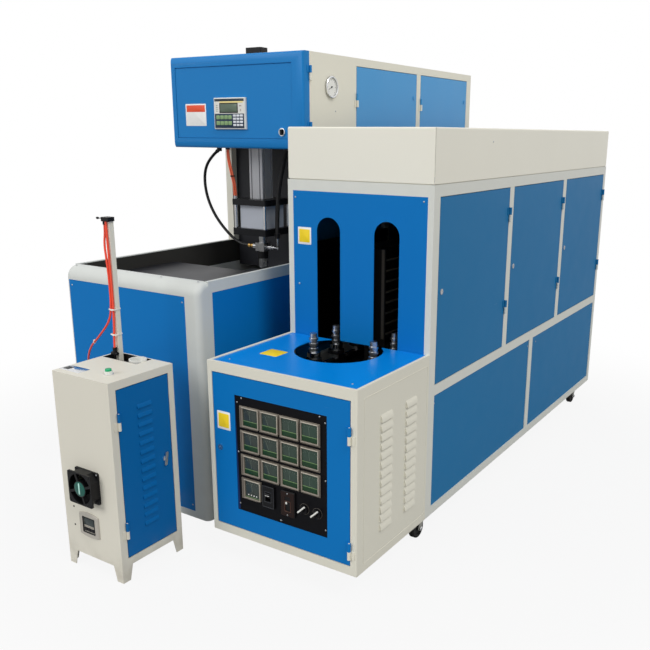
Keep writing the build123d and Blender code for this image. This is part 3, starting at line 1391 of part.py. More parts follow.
air_d = 8
red_d = 14
black_d = 14
conduit_d = 22
hose("aux_hose", air_d, [
    (-231.9, -1190.5, 1232), (-231.9, -1190.5, 1186), (-228.4, -1191, 1100), (-226.4, -1190.5, 1005),
    (-227.4, -1190.5, 915), (-230.4, -1191, 840), (-231.9, -1194, 800), (-231.9, -1194, 771)])
hose("aux_hose_branch", air_d, branch_route)
hose("press_red_hose", red_d, red_route)
hose("press_black_hose", black_d, black_route)
hose("press_conduit", conduit_d, conduit_route)
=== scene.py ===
import math

import bpy
import numpy as np
from mathutils import Matrix, Vector


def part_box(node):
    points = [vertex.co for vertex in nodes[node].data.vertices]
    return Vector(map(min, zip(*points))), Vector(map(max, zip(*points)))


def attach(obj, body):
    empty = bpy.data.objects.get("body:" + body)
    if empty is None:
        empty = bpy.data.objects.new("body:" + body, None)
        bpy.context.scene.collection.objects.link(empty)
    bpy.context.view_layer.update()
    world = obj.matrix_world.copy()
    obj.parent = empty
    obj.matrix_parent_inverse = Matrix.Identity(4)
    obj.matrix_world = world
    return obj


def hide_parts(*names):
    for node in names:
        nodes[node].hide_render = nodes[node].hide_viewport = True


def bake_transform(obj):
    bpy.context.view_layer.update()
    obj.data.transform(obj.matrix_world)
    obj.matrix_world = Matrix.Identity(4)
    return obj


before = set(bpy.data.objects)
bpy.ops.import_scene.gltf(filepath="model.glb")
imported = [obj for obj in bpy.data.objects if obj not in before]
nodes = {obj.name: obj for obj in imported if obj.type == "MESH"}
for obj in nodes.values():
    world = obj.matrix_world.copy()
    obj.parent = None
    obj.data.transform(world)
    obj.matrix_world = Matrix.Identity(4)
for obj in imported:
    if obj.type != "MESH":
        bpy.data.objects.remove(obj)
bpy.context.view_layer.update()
BASE = "machine_base"
MM = 0.001

# Directions of a face: across it, up it, and out of it
FRONT = ((1, 0, 0), (0, 0, 1), (0, -1, 0))
SIDE = ((0, 1, 0), (0, 0, 1), (1, 0, 0))
TOP = ((1, 0, 0), (0, 1, 0), (0, 0, 1))


def box_mm(node):
    """A node's lowest and highest corner at rest, in millimetres, to a tenth."""
    return np.round(np.array(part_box(node)) / MM, 1)


class Wire:
    """A socket that takes arithmetic: every operator adds the Math node that works it out."""

    def __init__(self, paint, socket):
        self.paint = paint
        self.socket = socket

    def math(self, operation, *others):
        return self.paint.node("Math", {"operation": operation}, dict(enumerate((self, *others))))

    def __add__(self, other):
        return self.math("ADD", other)

    def __sub__(self, other):
        return self.math("SUBTRACT", other)

    def __mul__(self, other):
        return self.math("MULTIPLY", other)

    def __rsub__(self, other):
        return self.paint.node("Math", {"operation": "SUBTRACT"}, {0: other, 1: self})

    __radd__ = __add__
    __rmul__ = __mul__

    def over(self, limit):
        return self.math("GREATER_THAN", limit)

    def under(self, limit):
        return self.math("LESS_THAN", limit)

    def between(self, low, high):
        return self.over(low) * self.under(high)

    def ease(self, low, high):
        """0 below low, 1 above high, and a smooth step between them."""
        settings = {"interpolation_type": "SMOOTHSTEP"}
        return self.paint.node("MapRange", settings, {"Value": self, "From Min": low, "From Max": high})


class Paint:
    """One material being made: its tree, the place of each point and its shader."""

    def __init__(self, name):
        self.material = bpy.data.materials.new(name)
        self.material.use_nodes = True
        self.tree = self.material.node_tree
        self.shader = self.tree.nodes["Principled BSDF"]
        self.place = self.node("TexCoord", {}, {}, "Object")
        parts = self.node("SeparateXYZ", {}, {0: self.place}, None)
        self.x, self.y, self.z = (Wire(self, parts.outputs[i]) for i in range(3))

    def node(self, kind, settings, values, output=0):
        """A node of a kind: its settings are made first, then its sockets get values or links."""
        made = self.tree.nodes.new("ShaderNode" + kind)
        for key, value in settings.items():
            setattr(made, key, value)
        for key, value in values.items():
            socket = made.inputs[key]
            value = value.socket if isinstance(value, Wire) else value
            if isinstance(value, bpy.types.NodeSocket):
                self.tree.links.new(value, socket)
            else:
                socket.default_value = value
        return made if output is None else Wire(self, made.outputs[output])

    def noise(self, scale, detail=2.0, squeeze=None):
        """Noise between 0 and 1, its grain 1/scale metres, and finer along each axis by its squeeze."""
        place = self.place
        if squeeze:
            place = self.node("Mapping", {}, {"Vector": place, "Scale": squeeze})
        return self.node("TexNoise", {}, {"Vector": place, "Scale": scale, "Detail": detail}, "Fac")

    def mix(self, factor, first, second):
        """A colour between two colours."""
        settings = {"data_type": "RGBA"}
        return self.node("Mix", settings, {"Factor": factor, 6: first, 7: second}, 2)

    def feed(self, socket, value):
        target = self.shader.inputs[socket]
        if isinstance(value, Wire):
            self.tree.links.new(value.socket, target)
        else:
            target.default_value = value

    def bump(self, height, distance, strength=1.0):
        values = {"Height": height, "Distance": distance, "Strength": strength}
        self.feed("Normal", self.node("Bump", {}, values))


def rgb(red, green, blue):
    """A screen colour of 0 to 255 as the linear colour that a shader takes."""
    level = np.array((red, green, blue)) / 255
    linear = np.where(level <= 0.04045, level / 12.92, ((level + 0.055) / 1.055) ** 2.4)
    return (*map(float, linear), 1.0)


def shade(colour, by):
    """A colour made lighter or darker by a factor, with no channel above 1."""
    return (*(min(1.0, c * by) for c in colour[:3]), 1.0)


DUST, SCUFF = rgb(134, 124, 108), rgb(206, 208, 206)
DUST_TOP = 0.16


def powder_coat(name, colour, rough=0.42, gloss=0.12):
    """Powder coat: a fine peel, slow drift of tone, rare fine scuffs, and dust that gathers in the last
    DUST_TOP metres above the floor. gloss is the coat's constant specular level."""
    paint = Paint(name)
    drift = paint.noise(1.4, 3)
    dust = (1 - paint.z.ease(0.0, DUST_TOP)) * paint.noise(14, 4).ease(0.35, 0.75)
    scuff = paint.noise(16, 4, (1, 1, 9)).ease(0.7, 0.8) * paint.noise(3, 2).ease(0.5, 0.7)
    tone = paint.mix(drift, shade(colour, 0.955), shade(colour, 1.035))
    tone = paint.mix(scuff * 0.16, tone, SCUFF)
    paint.feed("Base Color", paint.mix(dust * 0.35, tone, DUST))
    paint.feed("Roughness", paint.noise(9, 3) * 0.12 + (rough - 0.06) + dust * 0.2 + scuff * 0.12)
    paint.feed("Specular IOR Level", gloss)
    paint.bump(paint.noise(420, 1), 0.00005, 0.5)
    return paint.material


def metal(name, colour, rough, squeeze=(1, 1, 1), grain=900):
    """Bare metal with a few duller patches and fine tool marks, which lie across the axis that squeeze
    makes finer."""
    paint = Paint(name)
    marks = paint.noise(grain, 2, squeeze)
    patches = paint.noise(30, 3)
    paint.feed("Base Color", paint.mix(patches.ease(0.3, 0.8), colour, shade(colour, 0.86)))
    paint.feed("Metallic", 1.0)
    paint.feed("Roughness", marks * 0.16 + patches * 0.08 + (rough - 0.12))
    paint.bump(marks, 0.00003, 0.4)
    return paint.material


def plastic(name, colour, rough=0.42, grain=700, gloss=0.3):
    """Moulded plastic: fine even texture with faint handling marks."""
    paint = Paint(name)
    smears = paint.noise(26, 4)
    paint.feed("Base Color", paint.mix(smears, shade(colour, 0.9), shade(colour, 1.08)))
    paint.feed("Roughness", smears * 0.18 + (rough - 0.09))
    paint.feed("Specular IOR Level", gloss)
    paint.bump(paint.noise(grain, 1), 0.00004, 0.5)
    return paint.material


def zoned(name, base, zones, grain=600, squeeze=(1, 1, 1), gloss=0.25):
    """A node of several finishes: each zone's mask lays its own colour, metal and roughness. base and each
    zone's finish are (colour, metallic, roughness), and a mask is a function of the paint."""
    paint = Paint(name)
    grime = paint.noise(24, 4)
    colour, metallic, rough = base
    for mask, (zone_colour, zone_metal, zone_rough) in zones:
        cover = mask(paint)
        colour = paint.mix(cover, colour, zone_colour)
        metallic = (1 - cover) * metallic + cover * zone_metal
        rough = (1 - cover) * rough + cover * zone_rough
    veil = paint.mix(grime, (0.94, 0.94, 0.94, 1), (1, 1, 1, 1))
    settings = {"data_type": "RGBA", "blend_type": "MULTIPLY"}
    paint.feed("Base Color", paint.node("Mix", settings, {"Factor": 1.0, 6: colour, 7: veil}, 2))
    paint.feed("Metallic", metallic)
    paint.feed("Roughness", rough + (grime - 0.5) * 0.1)
    paint.feed("Specular IOR Level", gloss)
    paint.bump(paint.noise(grain, 1, squeeze), 0.00003, 0.4)
    return paint.material


CREAM = rgb(231, 228, 214)
# The frame's cream: cooler and greyer than the oven's cream, and also darker as painted shade
FRAME_COOL_SHADED_CREAM = rgb(221, 222, 214)
PRESS_CREAM = rgb(211, 214, 210)
BLACK = rgb(17, 17, 19)
STEEL = rgb(190, 191, 192)
BRIGHT = rgb(224, 225, 227)
BRASS = rgb(196, 158, 92)

cream = powder_coat("cream_coat", CREAM, 0.44, 0.3)
# The hood's cream: a lighter copy of the cream, painted light for a side that catches more light
hood_lit_cream = powder_coat("hood_lit_cream_coat", rgb(238, 235, 221), 0.44, 0.3)
front_blue = powder_coat("front_blue_coat", rgb(6, 116, 190))
oven_blue = powder_coat("oven_blue_coat", rgb(30, 114, 166))
head_blue = powder_coat("head_blue_coat", rgb(24, 124, 194), 0.4, 0.2)
upper_blue = powder_coat("upper_blue_coat", rgb(52, 148, 210), 0.36, 0.5)
table_blue = powder_coat("table_blue_sheet", rgb(2, 132, 220), 0.3, 0.2)
aux_blue = powder_coat("aux_blue_coat", rgb(10, 102, 168))
black_coat = powder_coat("black_coat", BLACK, 0.34, 0.3)
deck_coat = powder_coat("deck_coat", rgb(32, 33, 37), 0.42, 0.25)
plate_black = plastic("instrument_plate_black", rgb(12, 12, 15), 0.4, 700, 0.12)
chrome = metal("chrome_plate", BRIGHT, 0.2)
zinc = metal("zinc_plate", rgb(178, 180, 182), 0.34)
fork_zinc = plastic("castor_zinc", rgb(168, 168, 160), 0.26, 700, 0.6)
milled = metal("milled_aluminium", rgb(188, 192, 200), 0.34, (1, 1, 12))
dark_plastic = plastic("black_plastic", rgb(19, 19, 22), 0.4, 700, 0.2)
pale_plastic = plastic("pale_plastic", rgb(228, 228, 222))
green_cap = plastic("green_cap", rgb(30, 168, 112), 0.22)
tread = plastic("castor_tread", rgb(34, 33, 33), 0.6, 300)
air_red = plastic("red_hose", rgb(248, 84, 60), 0.3, 200)
# A lighter copy of the red hose for the bundle on the press head: painted light, as the bundle stands in
# shade
lit_bundle_red = plastic("red_hose_bundle_lit", rgb(255, 118, 84), 0.3, 200)
hose_black = plastic("black_hose", BLACK, 0.4, 300)
conduit_black = plastic("conduit_plastic", rgb(15, 15, 17), 0.5, 300)
meter_rim = plastic("meter_rim", rgb(134, 126, 114), 0.34, 700, 0.45)
screen_green = plastic("screen_glass", rgb(94, 110, 94), 0.14)
key_green = plastic("key_green", rgb(134, 166, 116), 0.4)
key_white = plastic("key_white", rgb(226, 230, 236), 0.4)
key_navy = plastic("key_field", rgb(24, 46, 70), 0.34)
strip_yellow = plastic("strip_yellow", rgb(240, 222, 150), 0.4)
label_white = plastic("label_white", rgb(240, 240, 238), 0.45)
label_red = plastic("label_red", rgb(232, 84, 48), 0.45)
label_yellow = plastic("label_yellow", rgb(248, 214, 36), 0.45)
fan_teal = plastic("hub_disc_teal", rgb(18, 92, 80), 0.18, 700, 0.5)
tie_white = plastic("tie_white", rgb(236, 236, 230), 0.4)
link_dark = plastic("tie_black", rgb(16, 16, 18), 0.4)
gauge_face = plastic("gauge_face", rgb(236, 236, 232), 0.3)
window_glass = plastic("counter_screen", rgb(62, 70, 70), 0.14)

# Masks: each takes the paint and is 1 in one part of a node. Their places are in metres
MID_X, PRESS_X = (box_mm(node)[:, 0].mean() * MM for node in ("heater_hood", "press_cabinet"))
ANY = (-9.0, 9.0)


def ring_mask(x, y, radius, low, high):
    """Inside a round column about (x, y) between two heights."""
    def mask(p):
        reach = (p.x - x) * (p.x - x) + (p.y - y) * (p.y - y)
        return reach.under(radius ** 2) * p.z.between(low, high)
    return mask


def box_mask(x, y, z):
    """Inside a box, given by its two ends along each axis."""
    return lambda p: p.x.between(*x) * p.y.between(*y) * p.z.between(*z)


def face_disc(x, z, radius):
    """Inside a round column along Y about (x, z)."""
    return lambda p: ((p.x - x) * (p.x - x) + (p.z - z) * (p.z - z)).under(radius ** 2)


def below(height):
    """Under a height."""
    return lambda p: p.z.under(height)


def heights(low, high):
    """Between two heights."""
    return lambda p: p.z.between(low, high)


def off_heater(p):
    """How far a point is from the oven's middle plane."""
    return (p.x - MID_X).math("ABSOLUTE")


def off_press(p):
    """How far a point is from the press's middle plane."""
    return (p.x - PRESS_X).math("ABSOLUTE")


def meter_fronts(p):
    """In front of the instrument plate, but not the relay and the breaker at its foot."""
    return p.y.under(-1.1096) * (1 - p.z.between(0.25, 0.36) * p.x.over(0.36))


def lane_mirrors(p):
    """The mirror sheets outside the two lanes."""
    return off_heater(p).over(0.2)


def lamp_tubes(p):
    """The rows of tubes on both sides of the lamp bank."""
    return off_heater(p).between(0.0665, 0.0785) * p.z.over(0.775)


def clamp_frame(p):
    """The plates and bars that carry the moulds, below the deck."""
    return off_press(p).under(0.3455) * p.y.between(-0.633, 0.4095) * p.z.between(0.0252, 0.8205)


def casing_inside(p):
    """The inner faces of the press's casing, close under its top."""
    return off_press(p).under(0.3655) * p.y.between(-0.905, 1.358) * p.z.between(0.875, 0.9895)


def cylinder_block(p):
    """The lower block between the cylinder's flange and its foot plate."""
    return p.z.between(1.1001, 1.2079) * off_press(p).under(0.076)


def tie_rods(p):
    """The four rods beside that block."""
    return p.z.between(1.1001, 1.2079) * off_press(p).over(0.079)


def gauge_rim(p):
    """What stands out of the press's side."""
    return p.x.over(-0.0275)


def pole_cap(p):
    """The block on top of the pole."""
    return p.z.over(1.2319)


def pole_elbow(p):
    """What stands out to the left of the pole."""
    return p.x.under(-0.2419)


castor_plates = below(0.1125)
chain_links = below(0.6745)
press_feet = below(0.0149)
spindle_flange, seat_ring = heights(0.6957, 0.7099), heights(0.7176, 0.734)
cylinder_flange, cylinder_foot = heights(1.2081, 1.2361), heights(1.0679, 1.1001)
nozzle_collar = box_mask(ANY, ANY, (0.95, 0.985))
hose_nipple = box_mask((-9.0, -0.4645), ANY, (0.99, 1.02))
bent_pipe = box_mask((-0.352, -0.2), ANY, ANY)
conduit_nut = box_mask((-0.302, -0.27), ANY, (1.058, 1.0801))
panel_elbow = box_mask(ANY, (-9.0, -0.9), (0.46, 0.49))
key_hole = face_disc(-0.1372, 1.5405, 0.0132)
counter_bezel = box_mask((-0.21, -0.07), (-1.4451, -1.4384), (0.13, 0.24))
button_collar = box_mask((-0.088, -0.05), (-1.382, -1.342), (0.7396, 0.76))
tray_ring = ring_mask(-0.1159, -1.191, 0.0335, 0.7141, 0.75)

dark_finish = (BLACK, 0.0, 0.4)
steel_finish = (STEEL, 1.0, 0.28)
bright_finish = (BRIGHT, 1.0, 0.16)
white_finish = (rgb(232, 232, 226), 0.0, 0.4)
spindle_zones = [(spindle_flange, dark_finish), (seat_ring, bright_finish)]
CORNERS = [row + "_" + side for row in ("front", "rear") for side in ("left", "right")]

# What each node is finished with
looks = {
    "heater_frame": zoned("frame_coat", (FRAME_COOL_SHADED_CREAM, 0.0, 0.42),
                          [(castor_plates, (rgb(186, 188, 190), 1.0, 0.3))], 420),
    "heater_hood": hood_lit_cream, "heater_panels": oven_blue, "heater_front_wall": front_blue,
    "control_box": powder_coat("box_cream_coat", rgb(225, 222, 207), 0.44, 0.3),
    "table_sheet": table_blue, "control_door": front_blue, "control_lock": chrome,
    "instrument_plate": plate_black, "breaker_lever": dark_plastic,
    "selector_left": dark_plastic, "selector_right": dark_plastic,
    "chain_bed": black_coat, "front_wheel": black_coat, "drive_wheel": black_coat,
    "press_head": cream, "press_panels": front_blue, "deck": deck_coat,
    "press_door_front": upper_blue, "press_door_rear": upper_blue, "head_door": head_blue,
    "mould_front": milled, "mould_rear": milled, "controller": pale_plastic, "stretch_rod": chrome,
    # The auxiliary cabinet's cream: a darker copy of the cream, as painted shade for its place low by the
    # floor
    "aux_cabinet": powder_coat("aux_shaded_cream_coat", rgb(224, 220, 206), 0.44, 0.3), "aux_door": aux_blue,
    "aux_latch": chrome, "fan_wheel": dark_plastic, "push_button": green_cap,
    "instruments": zoned("meter_bodies", dark_finish, [(meter_fronts, (rgb(122, 114, 104), 0.0, 0.36))]),
    "chain": zoned("chain_steel", steel_finish,
                   [(chain_links, (rgb(84, 82, 80), 1.0, 0.36)), *spindle_zones], 700, (1, 1, 10)),
    "spindle_front": zoned("spindle_steel", steel_finish, spindle_zones, 700, (1, 1, 10)),
    "lamp_bank": zoned("lamp_bank_finish", (rgb(34, 33, 32), 0.6, 0.5), [
        (lane_mirrors, (rgb(70, 70, 70), 1.0, 0.3)),
        (lamp_tubes, (rgb(96, 90, 80), 0.0, 0.2))]),
    "press_cabinet": zoned("press_coat", (PRESS_CREAM, 0.0, 0.42), [
        (clamp_frame, (rgb(150, 152, 156), 1.0, 0.3)),
        (casing_inside, (rgb(58, 57, 54), 0.0, 0.5)),
        (press_feet, dark_finish)], 420),
    "seal_cylinder": zoned("cylinder_finish", (rgb(178, 179, 183), 0.2, 0.34), [
        (cylinder_flange, (rgb(26, 27, 30), 0.3, 0.36)),
        (cylinder_foot, (rgb(22, 23, 26), 0.3, 0.36)),
        (cylinder_block, (rgb(190, 195, 205), 0.15, 0.3)),
        (tie_rods, bright_finish)], 600, (1, 1, 12)),
    "seal_nozzle": zoned("nozzle_finish", steel_finish, [
        (nozzle_collar, dark_finish), (hose_nipple, (BRASS, 1.0, 0.24)),
        (bent_pipe, bright_finish), (conduit_nut, dark_finish)]),
    "press_fittings": zoned("fitting_finish", dark_finish, [
        (gauge_rim, (rgb(190, 190, 188), 1.0, 0.24)), (panel_elbow, (BRASS, 1.0, 0.26))]),
    "key_switch": zoned("switch_finish", bright_finish, [(key_hole, dark_finish)]),
    "aux_fittings": zoned("small_fitting_finish", dark_finish, [
        (counter_bezel, (rgb(184, 179, 169), 0.0, 0.34)),
        (button_collar, white_finish), (tray_ring, white_finish)]),
    "aux_pole": zoned("pole_finish", (CREAM, 0.0, 0.4), [(pole_cap, dark_finish), (pole_elbow, dark_finish)]),
}
for place in ("front", "middle", "rear"):
    looks["heater_door_" + place] = oven_blue
    looks["heater_lock_" + place] = chrome
for corner in CORNERS:
    looks["castor_fork_" + corner] = fork_zinc
    looks["castor_wheel_" + corner] = tread
for name, material in looks.items():
    nodes[name].data.materials.clear()
    nodes[name].data.materials.append(material)


def at(face, x, y, z):
    """The place of a shape: its origin in millimetres and the face that it sits on."""
    across, up, out = (Vector(v) for v in face)
    place = Matrix((across, up, out)).transposed().to_4x4()
    place.translation = Vector((x, y, z)) * MM
    return np.array(place)


HERE = np.eye(4)


def loft(rings, joined=False):
    """Rings of as many points each, as (points, faces): quads join each ring to the next. The last ring
    joins the first, or else the two end rings are closed by one face each. A ring's points run
    counter-clockwise seen from the last."""
    rings = np.asarray(rings, float)
    rows, count = rings.shape[:2]
    index = np.arange(rows * count).reshape(rows, count)
    if joined:
        index = np.vstack((index, index[:1]))
    nxt = np.roll(index, -1, axis=1)
    faces = np.stack((index[:-1], nxt[:-1], nxt[1:], index[1:]), -1).reshape(-1, 4).tolist()
    if not joined:
        faces += [index[0][::-1].tolist(), index[-1].tolist()]
    return rings.reshape(-1, 3), faces


def turned_shape(profile, steps=24, joined=False):
    """Each (radius, height) of the profile goes once round the local Z axis, in millimetres. A joined
    profile is a ring's section, and comes back to its first point."""
    angle = np.linspace(0, 2 * math.pi, steps, endpoint=False)
    radius, height = np.array(profile, float).T[:, :, None] * MM
    rings = np.stack((radius * np.cos(angle), radius * np.sin(angle), height + 0 * angle), -1)
    return loft(rings, joined)


def rounded(width, height, corner, arc=5):
    """A rounded rectangle's outline for any inset and level: four quarter circles joined by its sides."""
    quarter = np.linspace(0, math.pi / 2, arc)
    turn = (quarter[None] + np.arange(4)[:, None] * math.pi / 2).ravel()
    sx, sy = np.repeat([1, -1, -1, 1], arc), np.repeat([1, 1, -1, -1], arc)

    def ring(inset, level):
        r = max(corner - inset, 0.05)
        x = sx * (width / 2 - inset - r) + r * np.cos(turn)
        y = sy * (height / 2 - inset - r) + r * np.sin(turn)
        return np.stack((x, y, 0 * x + level), -1)
    return ring


def pad(width, height, thick, corner=2.0, edge=0.5):
    """A thin pad: the rounded outline at the foot, at the top less the edge, and twice drawn in by it."""
    ring = rounded(width, height, min(corner, width / 2, height / 2))
    levels = [(0, 0), (0, thick - edge), (edge * 0.3, thick - edge * 0.3), (edge, thick)]
    return loft(np.array([ring(*level) for level in levels]) * MM)


def frame_ring(width, height, bar, thick, corner=3.0, edge=0.8):
    """A raised rim: the rounded outline goes up outside, over the bar, and down inside."""
    ring = rounded(width, height, min(corner, width / 2))
    levels = [(0, 0), (0, thick - edge), (edge, thick), (bar - edge, thick), (bar, thick - edge), (bar, 0)]
    return loft(np.array([ring(*level) for level in levels]) * MM, joined=True)


def screw(radius, high):
    """A domed screw head: the profile falls as an ellipse through 1.15 radians, above a foot of 0.3 mm,
    and the round drive is sunk by 0.7 mm."""
    turns = np.linspace(0, 1, 6) * 1.15
    profile = [(radius * math.cos(t), 0.3 + high * math.sin(t)) for t in turns]
    top = profile[-1][1]
    profile = [(radius, 0), *profile, (radius * 0.3, top), (radius * 0.26, top - 0.7)]
    return turned_shape(profile, 16)


def strip(points, width, thick):
    """A flat bar along a run of points in the local XY plane: the run is offset to both sides by half
    the width and drawn at two heights."""
    run = np.array(points, float)
    step = np.gradient(run, axis=0)
    side = np.stack((-step[:, 1], step[:, 0]), -1)
    side /= np.linalg.norm(side, axis=1)[:, None]
    left, right = run + side * width / 2, run - side * width / 2
    low, high = np.zeros((len(run), 1)), np.full((len(run), 1), thick)
    rings = np.stack((np.hstack((left, low)), np.hstack((right, low)), np.hstack((right, high)),
                      np.hstack((left, high))), 1)
    return loft(rings * MM)


def piece(name, material, body, slot, shapes):
    """One object from several (shape, place) pairs, riding on a body that is a name; slot, the name of its
    finish, is not used. A body of two names and two points leaves the piece where it is made, on no body."""
    points, faces, count = [], [], 0
    for (shape_points, shape_faces), place in shapes:
        placed = shape_points @ place[:3, :3].T + place[:3, 3]
        points.append(placed)
        faces += [[i + count for i in face] for face in shape_faces]
        count += len(placed)
    mesh = bpy.data.meshes.new(name)
    mesh.from_pydata(np.concatenate(points).tolist(), [], faces)
    mesh.materials.append(material)
    smooth_by_angle(mesh)
    made = bpy.data.objects.new(name, mesh)
    bpy.context.scene.collection.objects.link(made)
    if isinstance(body, str):
        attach(made, body)
    else:
        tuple(body[2])
        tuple(body[3])
        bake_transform(made)
    return made


def smooth_by_angle(mesh, limit=35):
    """Faces are smooth, and edges that turn by more than the limit stay sharp."""
    mesh.shade_smooth()
    mesh.set_sharp_from_angle(angle=math.radians(limit))


# Faces that the pieces sit on, in millimetres
oven_side, press_side = box_mm("heater_hood")[1][0], box_mm("press_cabinet")[1][0]
door_face_y, wall_y = -1111.5, box_mm("heater_front_wall")[0][1]
table_top, press_top = box_mm("table_sheet")[1][2], box_mm("press_cabinet")[1][2]
panel_side, press_front = box_mm("heater_panels")[1][0], box_mm("press_panels")[0][1]
aux_front, aux_top = box_mm("aux_cabinet")[0][1], box_mm("aux_cabinet")[1][2]

# Instruments in the control door. The windows sit off their bodies, by a shift for each column, and each
# value with out in its name is how far a thing stands out of the plate
(plate_left, plate_y, plate_foot), (plate_right, _, plate_top) = box_mm("instrument_plate")
first_meter, meter_step = (62, 75), (87.5, 90)
window_shift, window_rise = (12, 8, 6, 2), 3.5
window, glass_t = 66, 0.6
window_out, switch_out, rim_out, lever_out, knob_out = 6.2, 8, 11.5, 13.1, 17.9
meter_x = [plate_left + first_meter[0] + i * meter_step[0] for i in range(4)]
meter_z = [plate_top - first_meter[1] - i * meter_step[1] for i in range(4)]
window_x = [x + shift for x, shift in zip(meter_x, window_shift)]
window_z = [z + window_rise for z in meter_z]
meter_at = [(x, z) for z in window_z[:3] for x in window_x] + [(window_x[0], window_z[3])]
meter_face_y = plate_y - window_out
glass_y = meter_face_y - glass_t


def meter_window(name):
    """Meter window: dark glass whose tint drifts from grey to green across the panel."""
    paint = Paint(name)
    tint = paint.mix(paint.x.ease(0.3, 0.62), rgb(50, 54, 54), rgb(42, 66, 54))
    paint.feed("Base Color", paint.mix(paint.noise(60, 3) * 0.6, tint, rgb(70, 84, 76)))
    paint.feed("Roughness", 0.12)
    paint.feed("Specular IOR Level", 0.4)
    return paint.material


meter_glass = meter_window("meter_window")
band_green = plastic("meter_band", rgb(28, 60, 36), 0.24)
line_pale = plastic("meter_line", rgb(112, 142, 92), 0.3)
meter_ink = plastic("meter_ink", rgb(118, 134, 122), 0.4)
INSTRUMENTS = ("control_door", "meter_plastic")
dials = [at(FRONT, x, meter_face_y, z) for x, z in meter_at]
piece("meter_windows", meter_glass, *INSTRUMENTS,
      [(pad(window, window, glass_t, 1.5, 0.3), d) for d in dials])
piece("meter_rims", meter_rim, *INSTRUMENTS,
      [(frame_ring(75, 74, 5.2, rim_out, 3, 1.8), at(FRONT, x, plate_y, z)) for x, z in meter_at])
# Painted highlights: pale strips on the top and right bars of each meter rim stand in for the light that the
# rims' bevels catch
highlight_spots = ((pad(68, 2.2, 0.5, 1, 0.2), 0, 34.6), (pad(1.6, 66, 0.5, 0.8, 0.2), 35.2, 0))
piece("meter_painted_highlights", plastic("meter_painted_highlight", rgb(206, 198, 182), 0.3), *INSTRUMENTS,
      [(shape, at(FRONT, x + dx, plate_y - rim_out + 0.1, z + dz))
       for x, z in meter_at for shape, dx, dz in highlight_spots])
bands = [at(FRONT, x, glass_y, z - 23) for x, z in meter_at[:-1]]
piece("meter_bands", band_green, *INSTRUMENTS, [(pad(64, 17, 0.4, 1, 0.2), b) for b in bands])
lines = [at(FRONT, x, glass_y, z - 13.4) for x, z in meter_at[:-1]]
piece("meter_lines", line_pale, *INSTRUMENTS, [(pad(64, 2.2, 0.7, 0.5, 0.2), b) for b in lines])


def ray_of(angle, near, far, drop=0):
    """The two ends of a straight mark on a dial: it points away from a middle that lies lower by drop."""
    return [(r * math.cos(angle), r * math.sin(angle) - drop) for r in (near, far)]


pivot_drop = 22
scale_angle = np.linspace(math.radians(138), math.radians(42), 9)
ticks = []
for x, z in meter_at:
    place = at(FRONT, x, glass_y, z)
    for i, angle in enumerate(scale_angle):
        ticks.append((strip(ray_of(angle, 45 if i % 4 else 42, 48, pivot_drop), 0.8, 0.3), place))
    needle = math.radians(112 if (x + z) % 3 < 1.5 else 96)
    ticks.append((strip(ray_of(needle, 14, 45, pivot_drop), 0.7, 0.5), place))
piece("meter_scales", meter_ink, *INSTRUMENTS, ticks)
counts = [at(FRONT, window_x[0] - 18 + i * 12, glass_y, window_z[3] - 21) for i in range(4)]
piece("counter_marks", tie_white, *INSTRUMENTS, [(pad(5, 4, 0.4, 1, 0.1), c) for c in counts])
piece("counter_foot", line_pale, *INSTRUMENTS,
      [(pad(64, 2, 0.6, 0.5, 0.2), at(FRONT, window_x[0], glass_y, window_z[3] - 29))])
plate_screws = [(x, z) for x in (plate_left + 10, plate_right - 8) for z in (plate_foot + 26, plate_top - 26)]
plate_screws += [(plate_left + 30, plate_top - 8), (plate_right - 30, plate_top - 8)]
plate_screws += [(plate_left + 10, 447), (plate_right - 8, 428), (462, plate_foot + 9)]
piece("plate_screws", zinc, *INSTRUMENTS,
      [(screw(3.2, 1.6), at(FRONT, x, plate_y, z)) for x, z in plate_screws])
breaker_x, breaker_z = meter_x[1] - 5, meter_z[3] - 4
relay_x, relay_z = meter_x[2] - 7, meter_z[3] - 8
breaker_place = at(FRONT, breaker_x, plate_y - switch_out, breaker_z)
piece("breaker_rim", plastic("breaker_line", rgb(64, 66, 70), 0.4), *INSTRUMENTS,
      [(frame_ring(50, 80, 1.6, 1.2, 2, 0.4), breaker_place),
       (frame_ring(30, 40, 1.4, 1.2, 2, 0.4), breaker_place)])
piece("breaker_mark", tie_white, "breaker_lever", "black_plastic",
      [(pad(19, 7, 0.6, 1, 0.2), at(FRONT, breaker_x, plate_y - lever_out, breaker_z + 9))])
piece("relay_cover", plastic("relay_brown", rgb(42, 31, 28), 0.4, 700, 0.12), *INSTRUMENTS,
      [(frame_ring(56, 90, 17, 1.6, 3, 0.6), at(FRONT, relay_x, plate_y - switch_out, relay_z))])
piece("relay_window", plastic("relay_window_brown", rgb(74, 48, 38), 0.3), *INSTRUMENTS,
      [(frame_ring(27, 40, 2.4, 2.2, 2, 0.5), at(FRONT, relay_x + 1, plate_y - switch_out, relay_z - 8))])
piece("relay_lamp", tie_white, *INSTRUMENTS,
      [(pad(7, 9, 1.4, 2, 0.4), at(FRONT, relay_x - 5, plate_y - switch_out, relay_z + 4))])
piece("relay_screws", zinc, *INSTRUMENTS,
      [(screw(3, 1.4), at(FRONT, relay_x, plate_y - switch_out - 1.4, relay_z + side * 40))
       for side in (-1, 1)])
knobs = {label: box_mm(label).mean(axis=0) for label in ("selector_left", "selector_right")}
lever_run = [(-15, -9), (-12, -6), (6, 11), (11, 16), (15, 18)]
for label, (x, _, z) in knobs.items():
    piece(label + "_lever", pale_plastic, label, "grey_plastic",
          [(strip(lever_run, 5.5, 3), at(FRONT, x, plate_y - knob_out, z))])
